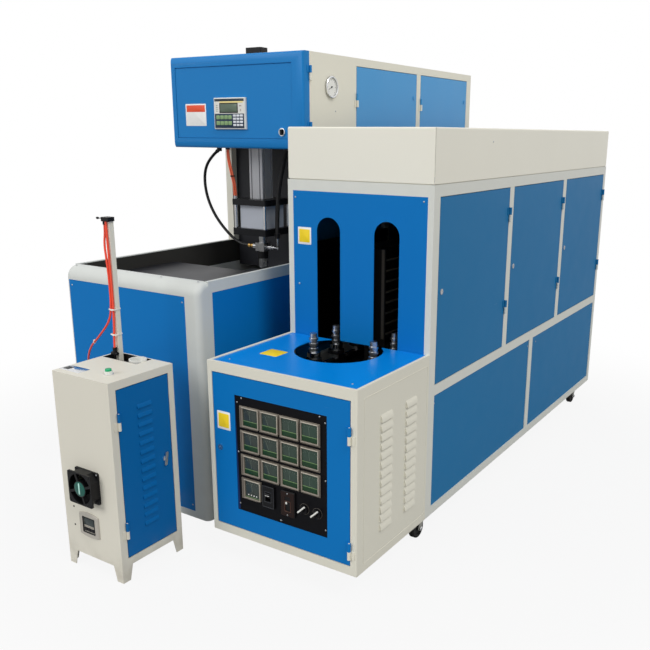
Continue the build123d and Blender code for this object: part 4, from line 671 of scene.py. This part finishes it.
piece("selector_rings", plastic("selector_ring", rgb(84, 80, 74), 0.4), *INSTRUMENTS,
      [(frame_ring(40, 40, 1.6, 0.8, 20, 0.3), at(FRONT, x, plate_y, z)) for x, _, z in knobs.values()])
# Painted shadow: a dark navy strip along the plate's left edge stands in for the shade at the edge of the
# door's opening
piece("plate_painted_shadow", plastic("painted_shadow_navy", rgb(12, 40, 90), 0.4), *INSTRUMENTS,
      [(strip([(5, -215), (1, 0), (-3, 215)], 9, 0.4), at(FRONT, plate_left, plate_y, 440))])

# Head door: its outer box, how far its panel lies in from the left, right, foot and top, and how deep
head_low, head_high = box_mm("head_door")
door_deep, panel_in, panel_sunk = 48, (28, 58, 43, 46), 2
HEAD_X, HEAD_Z = (head_low[0], press_side), (head_low[2], head_high[2])
HEAD_Y = (head_low[1], head_low[1] + door_deep)
panel_y = HEAD_Y[0] + panel_sunk

# Labels, left blank: name, finish, body, pad, face and place
labels = (
    ("door_label", label_white, "control_door", (60, 68, 0.5, 3, 0.2), FRONT, (215.5, door_face_y, 552)),
    ("door_label_field", label_yellow, "control_door", (48, 52, 0.3, 3, 0.1), FRONT,
     (215.5, door_face_y - 0.5, 552)),
    ("wall_label", label_white, BASE, (62, 66, 0.5, 3, 0.2), FRONT, (223.5, wall_y, 1157)),
    ("wall_label_field", label_yellow, BASE, (50, 50, 0.3, 3, 0.1), FRONT, (223.5, wall_y - 0.5, 1157)),
    ("table_label", label_yellow, BASE, (78, 74, 0.5, 6, 0.2), TOP, (283, -906, table_top)),
    ("head_label", label_white, "head_door", (127, 98, 0.5, 3, 0.2), FRONT, (-641.9, panel_y, 1616)),
    ("head_label_band", label_red, "head_door", (114, 30, 0.3, 2, 0.1), FRONT,
     (-641.9, panel_y - 0.5, 1644)))
for name, finish, body, shape, face, spot in labels:
    piece(name, finish, body, "grey_plastic", [(pad(*shape), at(face, *spot))])

# Controller face
(face_left, face_y, _), (_, _, face_top) = box_mm("controller")


def face_pad(name, material, spots, out=0.0, corner=1.0):
    """Pads on the controller: each spot is (left, top, width, height, thick) from its upper left corner."""
    piece(name, material, "head_door", "grey_plastic", [
        (pad(width, height, thick, corner, 0.2),
         at(FRONT, face_left + left + width / 2, face_y - out, face_top - top - height / 2))
        for left, top, width, height, thick in spots])


face_pad("controller_bar", plastic("controller_bar", rgb(30, 44, 58), 0.3), [(6, 5, 172, 11, 0.5)])
face_pad("controller_strip", strip_yellow, [(36, 16, 136, 7, 0.5)])
face_pad("screen_edge", dark_plastic, [(35, 23, 108, 43, 0.7)])
face_pad("controller_screen", screen_green, [(40, 27, 98, 35, 0.3)], 0.7)
face_pad("controller_marks", meter_ink, [(15, 32 + i * 8, 9, 3, 0.4) for i in range(4)])
face_pad("controller_lamps", plastic("lamp_brown", rgb(120, 52, 34), 0.3),
         [(152 + i * 7, 34, 4, 4, 1.0) for i in range(2)] + [(154, 50 + i * 6, 8, 2, 0.4) for i in range(2)])
face_pad("key_field", key_navy, [(6, 69, 172, 62, 0.6)], 0.0, 2.0)
green_spots = [(16 + c * 23.5, 76 + r * 25, 20, 17, 1.4) for r in range(2) for c in range(4)]
white_spots = [(115 + c * 20, 73 + r * 13.5, 16, 9, 1.4) for r in range(4) for c in range(3)]
face_pad("green_keys", key_green, green_spots, 0.6, 3.0)
face_pad("white_keys", key_white, white_spots, 0.6, 2.0)
key_x, _, key_z = box_mm("key_switch").mean(axis=0)
piece("key_slot", chrome, "key_switch", "chrome",
      [(frame_ring(31, 31, 2.4, 1.2, 15.4, 0.5), at(FRONT, key_x, panel_y - 5.9, key_z))])


def door_ring(inset, y):
    """A rectangle of the door, drawn in on its left, right, foot and top, at a depth."""
    left, right, foot, top = inset
    x0, x1, z0, z1 = HEAD_X[0] + left, HEAD_X[1] - right, HEAD_Z[0] + foot, HEAD_Z[1] - top
    return [(x0, y, z0), (x1, y, z0), (x1, y, z1), (x0, y, z1)]


def head_shell():
    """The door's shell, whose bullnosed edges meet in mitres: rings go from the hollow at the back round
    the outer edge, over a quarter ellipse on each side, whose inset is its reach times (1 - cos t) and
    whose depth is round_deep (1 - sin t), and down the gap to the sunk panel."""
    hollow, reach, round_deep = (46, 60, 46, 46), np.array((5, 42, 38, 40)), 15
    rings = [door_ring(hollow, HEAD_Y[0] + 8), door_ring(hollow, HEAD_Y[1])]
    rings.append(door_ring((0, 0, 0, 0), HEAD_Y[1]))
    for t in np.linspace(0, math.pi / 2, 13):
        rings.append(door_ring(reach * (1 - math.cos(t)), HEAD_Y[0] + round_deep * (1 - math.sin(t))))
    for side, lip, y in ((0, 0, 0), (0, 0, 6), (1.2, 3.4, 6), (1.2, 3.4, 2.6), (1.8, 4.0, panel_sunk)):
        rings.append(door_ring(np.add(panel_in, (side, side, side, lip)), HEAD_Y[0] + y))
    return loft(np.array(rings) * MM)


hinge_pin, hinge_z = (press_side + 6.3, -240), (1784, 1555)
knuckle = turned_shape([(5.4, 0.3), (6, 0.9), (6, 29.1), (5.4, 29.7)], 24)
knuckles = [(knuckle, at(TOP, *hinge_pin, z)) for z in hinge_z]
leaves = [(pad(18, 30, 2.4, 1, 0.5), at(SIDE, press_side, -249, z + 15)) for z in hinge_z]
door_front = piece("head_door_front", head_blue, "head_door", "door_blue",
                   [(head_shell(), HERE), *knuckles, *leaves])
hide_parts("head_door")

# Gauge dial: every fifth mark is longer and wider
gauge_y, gauge_z = -80.5, 1734
needle_turn = 3.6


def on_gauge(out):
    """A place on the gauge's axis, so far out of the press's side."""
    return at(SIDE, press_side + out, gauge_y, gauge_z)


dial_marks = []
for i, angle in enumerate(np.linspace(math.radians(225), math.radians(-45), 31)):
    near, width = (30, 0.6) if i % 5 else (27, 1.3)
    dial_marks.append((strip(ray_of(angle, near, 33), width, 0.2), on_gauge(4.7)))
dial_marks.append((strip(ray_of(needle_turn, -9, 26), 1.6, 0.8), on_gauge(4.9)))
dial_marks.append((turned_shape([(4, 0), (4, 1.6), (3, 2.2)], 20), on_gauge(4.8)))
piece("gauge_face", gauge_face, BASE, "mixed_fittings",
      [(turned_shape([(38.6, 0), (38.6, 0.6)], 48), on_gauge(4.05))])
piece("gauge_scale", link_dark, BASE, "mixed_fittings", dial_marks)
rim_section = [(39, 0.2), (46.2, 0.2), (46.2, 2.4), (44, 4.4), (41, 4.4), (39, 3)]
piece("gauge_rim", chrome, BASE, "mixed_fittings", [(turned_shape(rim_section, 48, True), on_gauge(6.8))])

# The pressed outline on the control box's side, and the caps on the castors' axles
piece("side_outline", looks["control_box"], BASE, "cream_paint",
      [(frame_ring(433, 589, 3.4, 0.9, 8, 0.4), at(SIDE, oven_side, -854.5, 434.5))])
axle_cap, cap_off = turned_shape([(9, 0), (9, 1.5), (7, 3.4), (3, 4)], 20), 23
for corner in CORNERS:
    x, y, z = box_mm("castor_wheel_" + corner).mean(axis=0)
    piece("castor_caps_" + corner, chrome, "castor_fork_" + corner, "chrome",
          [(axle_cap, at(((0, sign, 0), (0, 0, 1), (sign, 0, 0)), x + sign * cap_off, y, z))
           for sign in (-1, 1)])

# Screws on the sheets
sheet_screws = [
    (FRONT, 182.1, wall_y, 1302), (FRONT, 737.1, wall_y, 1311), (FRONT, 196.1, wall_y, 968),
    (TOP, 721.8, -1054.4, table_top), (TOP, 202, -1054, table_top),
    (TOP, -757.8, -925, press_top), (TOP, -553.7, -930.4, press_top),
    (TOP, -250, -930.4, press_top), (TOP, -59, -925, press_top),
    (FRONT, -113.4, press_front, 912.8), (FRONT, -752, press_front, 912.8),
    (FRONT, -752, press_front, 70), (FRONT, -113.4, press_front, 70),
    (SIDE, oven_side, -140.5, 1511), (SIDE, press_side, -39.5, 1711), (SIDE, press_side, -43.5, 1633),
    (SIDE, panel_side, -575, 566), (SIDE, panel_side, 400, 566),
    (SIDE, panel_side, 505, 566), (SIDE, panel_side, 1420, 566)]
piece("sheet_screws", zinc, BASE, "bright_steel",
      [(screw(3.6, 1.7), at(face, x, y, z)) for face, x, y, z in sheet_screws])

# Auxiliary cabinet: fan disc and screws, counter, plate and ring on the top. fan_half is how far a
# screw is from the fan's middle, across and up
fan_x, fan_z, fan_half, fan_flange = -128.9, 342, 52.5, 6
fan_front = box_mm("aux_fittings")[0][1]
counter_x, counter_z = -140.9, 184
screen_y = aux_front - 3
dark_screws = [(-221.4, aux_front, 236.8), (-223.5, aux_front, 164.6),
               *((fan_x + sx * fan_half, fan_front, fan_z + sz * fan_half)
                 for sx, sz in ((-1, -1), (-1, 1), (1, -1)))]
piece("dark_screws", dark_plastic, BASE, "black_plastic",
      [(screw(3.4, 1.8), at(FRONT, x, y, z)) for x, y, z in dark_screws])
piece("fan_disc", fan_teal, BASE, "black_plastic",
      [(turned_shape([(27, 0), (27, 0.5), (26, 0.9), (10, 1.3)], 40), at(FRONT, fan_x, fan_front, fan_z))])
piece("fan_screw", zinc, BASE, "bright_steel",
      [(screw(3.4, 1.8), at(FRONT, fan_x + fan_half, aux_front - fan_flange, fan_z + fan_half))])
# A painted highlight: a pale upright strip on the fan disc stands in for the light that its gloss catches
piece("fan_disc_painted_highlight", plastic("disc_painted_highlight", rgb(188, 236, 224), 0.3), BASE, "grey_plastic",
      [(pad(7, 42, 0.4, 3, 0.2), at(FRONT, fan_x - 2.1, fan_front - 1.1, fan_z + 1))])
piece("counter_frame", dark_plastic, BASE, "black_plastic",
      [(frame_ring(66, 63, 5, 1.6, 3, 0.6), at(FRONT, counter_x, aux_front - 4.7, counter_z))])
piece("counter_screen", window_glass, BASE, "black_plastic",
      [(pad(54, 28, 0.6, 2, 0.2), at(FRONT, counter_x, screen_y, counter_z + 12))])
piece("counter_keys", dark_plastic, BASE, "black_plastic",
      [(pad(16, 13, 1.8, 2, 0.5), at(FRONT, counter_x + i * 18, screen_y, counter_z - 17))
       for i in (-1, 0, 1)])
piece("counter_line", meter_rim, BASE, "black_plastic",
      [(pad(56, 2, 1.0, 0.6, 0.3), at(FRONT, counter_x, screen_y, counter_z - 6))])
piece("top_plate", chrome, BASE, "bright_steel",
      [(pad(104, 50, 1.0, 3, 0.4), at(TOP, -215, -1388, aux_top))])
piece("top_plate_mark", link_dark, BASE, "black_plastic",
      [(pad(26, 26, 0.5, 2, 0.2), at(TOP, -246, -1388, aux_top + 1))])
button_x, button_y, _ = box_mm("push_button").mean(axis=0)
ring_section = [(15.1, 0), (16.5, 0), (16.5, 2.6), (15.6, 3.4), (15.1, 3.4)]
piece("button_ring", chrome, BASE, "bright_steel",
      [(turned_shape(ring_section, 40, True), at(TOP, button_x, button_y, aux_top))])


def band(width, depth, high, wall=1.4):
    """A tie drawn round a bundle: a rim whose outline is a rounded rectangle."""
    return frame_ring(width, depth, wall, high, 6, 0.4)


def tie(name, material, x, y, z, width, depth, slot="grey_plastic"):
    """A tie with its lock at the front, round what stands at (x, y)."""
    lock = (pad(7, 6, 5, 1, 0.6), at(FRONT, x + width * 0.2, y - depth / 2 + 1, z + 2))
    piece(name, material, BASE, slot, [(band(width, depth, 4.5), at(TOP, x, y, z)), lock])


# Ties round the pole and the branch hose, and the nub of the pole's elbow
for name, z in (("pole_tie_high", 912), ("pole_tie_low", 818)):
    tie(name, tie_white, -232, -1180.5, z, 30, 36)
branch_way = Vector((-0.055, 0.019, -0.034)).to_track_quat("Z", "Y").to_matrix().to_4x4()
branch_spot = Matrix.Translation((-0.3895, -1.1556, 0.7608)) @ branch_way
branch_shapes = ((band(11.5, 11.5, 4.5), (0, 0, 0)), (pad(6, 5, 9, 1, 0.6), (0, 0.0065, -0.002)))
piece("branch_tie", tie_white, BASE, "grey_plastic",
      [(shape, np.array(branch_spot @ Matrix.Translation(shift))) for shape, shift in branch_shapes])
nub = np.array(Matrix.Translation((-0.2629, -1.1755, 1.2395)) @ Matrix.Rotation(math.radians(-90), 4, "Y"))
piece("pole_nub", dark_plastic, BASE, "black_plastic",
      [(turned_shape([(1.6, -1), (1.6, 25), (4, 25.6), (4.4, 31), (3.4, 34)], 20), nub)])


def line_of(name, route):
    """The smooth line that a route of control points gives, as points read from its spline."""
    curve = bpy.data.curves.new(name, "CURVE")
    curve.dimensions = "3D"
    curve.resolution_u = 8
    spline = curve.splines.new("NURBS")
    spline.points.add(len(route) - 1)
    for point, place in zip(spline.points, route):
        point.co = (*place, 1)
    spline.order_u = 3
    spline.use_endpoint_u = True
    holder = bpy.data.objects.new(name, curve)
    bpy.context.scene.collection.objects.link(holder)
    bpy.context.view_layer.update()
    mesh = bpy.data.meshes.new_from_object(holder)
    points = np.array([v.co[:] for v in mesh.vertices])
    bpy.data.objects.remove(holder)
    return points


def tube(points, radius, steps=16):
    """A tube: round each point of the line goes a circle in the plane across it. radius is a number, or
    one per point. The circle's first direction is the line's direction crossed with Y."""
    along = np.gradient(points, axis=0)
    along /= np.linalg.norm(along, axis=1)[:, None]
    across = np.cross(along, (0, 1, 0))
    across /= np.linalg.norm(across, axis=1)[:, None]
    third = np.cross(along, across)
    angle = np.linspace(0, 2 * math.pi, steps, endpoint=False)
    radius = np.broadcast_to(radius, len(points))[:, None, None]
    circle = across[:, None] * np.cos(angle)[:, None] + third[:, None] * np.sin(angle)[:, None]
    return loft(points[:, None] + radius * circle)


def finer(points, count):
    """The same line with count points at even steps along it."""
    steps = np.r_[0, np.cumsum(np.linalg.norm(np.diff(points, axis=0), axis=1))]
    even = np.linspace(0, steps[-1], count)
    return np.stack([np.interp(even, steps, points[:, i]) for i in range(3)], 1)


def length_of(points):
    """The length of a line through points, in metres."""
    return float(np.linalg.norm(np.diff(points, axis=0), axis=1).sum())


# Routes of the hoses, in metres
aux_route = [
    (-.2319, -1.1905, 1.232), (-.2319, -1.1905, 1.186), (-.2284, -1.191, 1.100), (-.2264, -1.1905, 1.005),
    (-.2274, -1.1905, .915), (-.2304, -1.191, .840), (-.2319, -1.194, .800), (-.2319, -1.194, .771)]
branch_route = [
    (-.2579, -1.1755, 1.218), (-.2579, -1.1755, 1.192), (-.2509, -1.189, 1.150), (-.2399, -1.1925, 1.090),
    (-.2364, -1.191, 1.010), (-.2369, -1.191, .930), (-.246, -1.1905, .885), (-.271, -1.187, .850),
    (-.3167, -1.1775, .812), (-.365, -1.164, .776), (-.420, -1.145, .742), (-.478, -1.119, .693),
    (-.528, -1.085, .640), (-.578, -1.035, .592), (-.612, -.988, .552), (-.622, -.9735, .515),
    (-.622, -.9735, .480)]
red_route = [
    (-.5269, -.2065, 1.462), (-.5269, -.2065, 1.424), (-.5059, -.2075, 1.350), (-.4964, -.1995, 1.292),
    (-.4964, -.1995, 1.250)]
black_route = [
    (-.6469, -.1515, 1.4494), (-.6919, -.1515, 1.4177), (-.7309, -.1495, 1.362), (-.7419, -.1435, 1.285),
    (-.7259, -.1355, 1.200), (-.6799, -.1275, 1.118), (-.6109, -.1175, 1.046), (-.5449, -.1115, 1.005),
    (-.4964, -.1115, 1.005)]
conduit_route = [
    (-.2229, -.1515, 1.455), (-.2379, -.1515, 1.415), (-.2609, -.1515, 1.340), (-.2769, -.1515, 1.255),
    (-.2839, -.1515, 1.170), (-.2869, -.1515, 1.115), (-.2869, -.1515, 1.080)]


def free_hose(name, node, route, diameter, material, slot, shape=None, body=BASE, **facts):
    """A hose on its line: a plain tube, or the given shape of the line, standing for its CAD solid."""
    line = line_of(name, route)
    shapes = shape(line) if shape else [tube(line, diameter / 2)]
    made = piece(name, material, body, slot, [(s, HERE) for s in shapes])
    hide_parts(node)
    length_of(line)


def two_strands(line):
    """Two hoses side by side in one bundle: each runs about half a hose from the line, turns slowly
    round it, and they part a little towards the foot."""
    line = finer(line, 60)
    turn = np.linspace(0.2, 1.1, len(line))
    reach = np.linspace(0.0038, 0.0042, len(line))[:, None]
    side = np.stack((np.cos(turn), np.sin(turn), 0 * turn), 1) * reach
    return [tube(line + side, 0.004, 12), tube(line - side, 0.004, 12)]


def ribbed(line):
    """Corrugated conduit: its radius goes up and down as a cosine along it, nine ribs to 50 mm."""
    line = finer(line, 420)
    along = np.linspace(0, length_of(line), len(line))
    return [tube(line, 0.0102 + 0.0008 * np.cos(along * 2 * math.pi / 0.0056), 20)]


free_hose("air_hose", "aux_hose", aux_route, 0.008, air_red, "red_hose", stiffness="medium", lay="hanging")
free_hose("air_hose_branch", "aux_hose_branch", branch_route, 0.008, air_red, "red_hose",
          stiffness="medium", lay="hanging")
free_hose("head_hoses", "press_red_hose", red_route, 0.016, lit_bundle_red, "red_hose", two_strands,
          stiffness="medium", lay="hanging")
free_hose("nozzle_hose", "press_black_hose", black_route, 0.014, hose_black, "black_hose",
          body=(BASE, "seal_nozzle", black_route[0], black_route[-1]), stiffness="medium", lay="hanging")
free_hose("nozzle_conduit", "press_conduit", conduit_route, 0.022, conduit_black, "black_hose", ribbed,
          body=(BASE, "seal_nozzle", conduit_route[0], conduit_route[-1]), stiffness="stiff", lay="hanging")
tie("bundle_tie", link_dark, -503.2, -207, 1339, 19, 19, "black_hose")

# Camera at the photograph's place: its frame is picture pixels wide, and it looks at the aim pixel
picture, focal, aim = 650, 779.5, (361.6, 343.6)
yaw, pitch, roll = math.radians(32.187), math.radians(15.07), math.radians(0.40)
ahead = Vector((-math.sin(yaw) * math.cos(pitch), math.cos(yaw) * math.cos(pitch), -math.sin(pitch)))
level = Vector((math.cos(yaw), math.sin(yaw), 0))
above = level.cross(ahead)
right = math.cos(roll) * level + math.sin(roll) * above
up = -math.sin(roll) * level + math.cos(roll) * above
lens = bpy.data.cameras.new("camera")
camera = bpy.data.objects.new("camera", lens)
bpy.context.scene.collection.objects.link(camera)
turn = Matrix((right, up, -ahead)).transposed().to_4x4()
camera.matrix_world = Matrix.Translation((2.0119, -3.0517, 1.5374)) @ turn
lens.sensor_width = 36
lens.lens = focal / picture * lens.sensor_width
lens.shift_x = (picture / 2 - aim[0]) / picture
lens.shift_y = (aim[1] - picture / 2) / picture
bpy.context.scene.camera = camera

# A pale floor that shows a tenth of its shadow near the machine and goes to plain white with distance
floor_points, floor_faces = turned_shape([(40000, -20), (40000, 0)], 64)
floor_mesh = bpy.data.meshes.new("floor")
floor_mesh.from_pydata(floor_points.tolist(), [], floor_faces)
floor = bpy.data.objects.new("floor", floor_mesh)
bpy.context.scene.collection.objects.link(floor)
floor_paint = Paint("floor_pale")
floor_tone = floor_paint.mix(floor_paint.noise(3, 4), (0.4, 0.4, 0.4, 1), (0.43, 0.43, 0.43, 1))
floor_paint.feed("Base Color", floor_tone)
floor_paint.feed("Roughness", 0.9)
floor_paint.feed("Specular IOR Level", 0.2)
reach = (floor_paint.x * floor_paint.x + floor_paint.y * floor_paint.y).math("SQRT")
seen = floor_paint.node("LightPath", {}, {}, "Is Camera Ray")
glow = floor_paint.node("Emission", {}, {"Color": (1, 1, 1, 1), "Strength": 1.0})
whitened = seen * (reach.ease(1.4, 3.0) * 0.1 + 0.9)
blend = floor_paint.node("MixShader", {}, {0: whitened, 1: floor_paint.shader.outputs[0], 2: glow})
floor_paint.tree.links.new(blend.socket, floor_paint.tree.nodes["Material Output"].inputs["Surface"])
floor_mesh.materials.append(floor_paint.material)

# Even white surroundings: at full strength only where the camera, a gloss or a glass sees them
world = bpy.data.worlds.new("studio")
world.use_nodes = True
bpy.context.scene.world = world
sky = world.node_tree
ray = sky.nodes.new("ShaderNodeLightPath")
shown = sky.nodes.new("ShaderNodeMath")
shown.operation = "MAXIMUM"
sky.links.new(ray.outputs["Is Camera Ray"], shown.inputs[0])
sky.links.new(ray.outputs["Is Glossy Ray"], shown.inputs[1])
either = sky.nodes.new("ShaderNodeMath")
either.operation = "MAXIMUM"
sky.links.new(shown.outputs[0], either.inputs[0])
sky.links.new(ray.outputs["Is Transmission Ray"], either.inputs[1])
strength = sky.nodes.new("ShaderNodeMapRange")
strength.inputs["To Min"].default_value = 0.54
strength.inputs["To Max"].default_value = 1.0
sky.links.new(either.outputs[0], strength.inputs["Value"])
sky.links.new(strength.outputs[0], sky.nodes["Background"].inputs["Strength"])
sky.nodes["Background"].inputs["Color"].default_value = (1, 1, 1, 1)


def lamp(name, strength, spread, direction):
    """A soft sun that shines from a direction."""
    light = bpy.data.lights.new(name, "SUN")
    light.energy = strength
    light.angle = math.radians(spread)
    holder = bpy.data.objects.new(name, light)
    holder.rotation_mode = "QUATERNION"
    holder.rotation_quaternion = Vector(direction).to_track_quat("Z", "Y")
    bpy.context.scene.collection.objects.link(holder)


lamp("key", 1.15, 30, (-0.35, -0.8, 0.5))
lamp("fill", 1.12, 25, (0.8, -0.25, 1.0))

bpy.context.scene.view_settings.view_transform = "Standard"
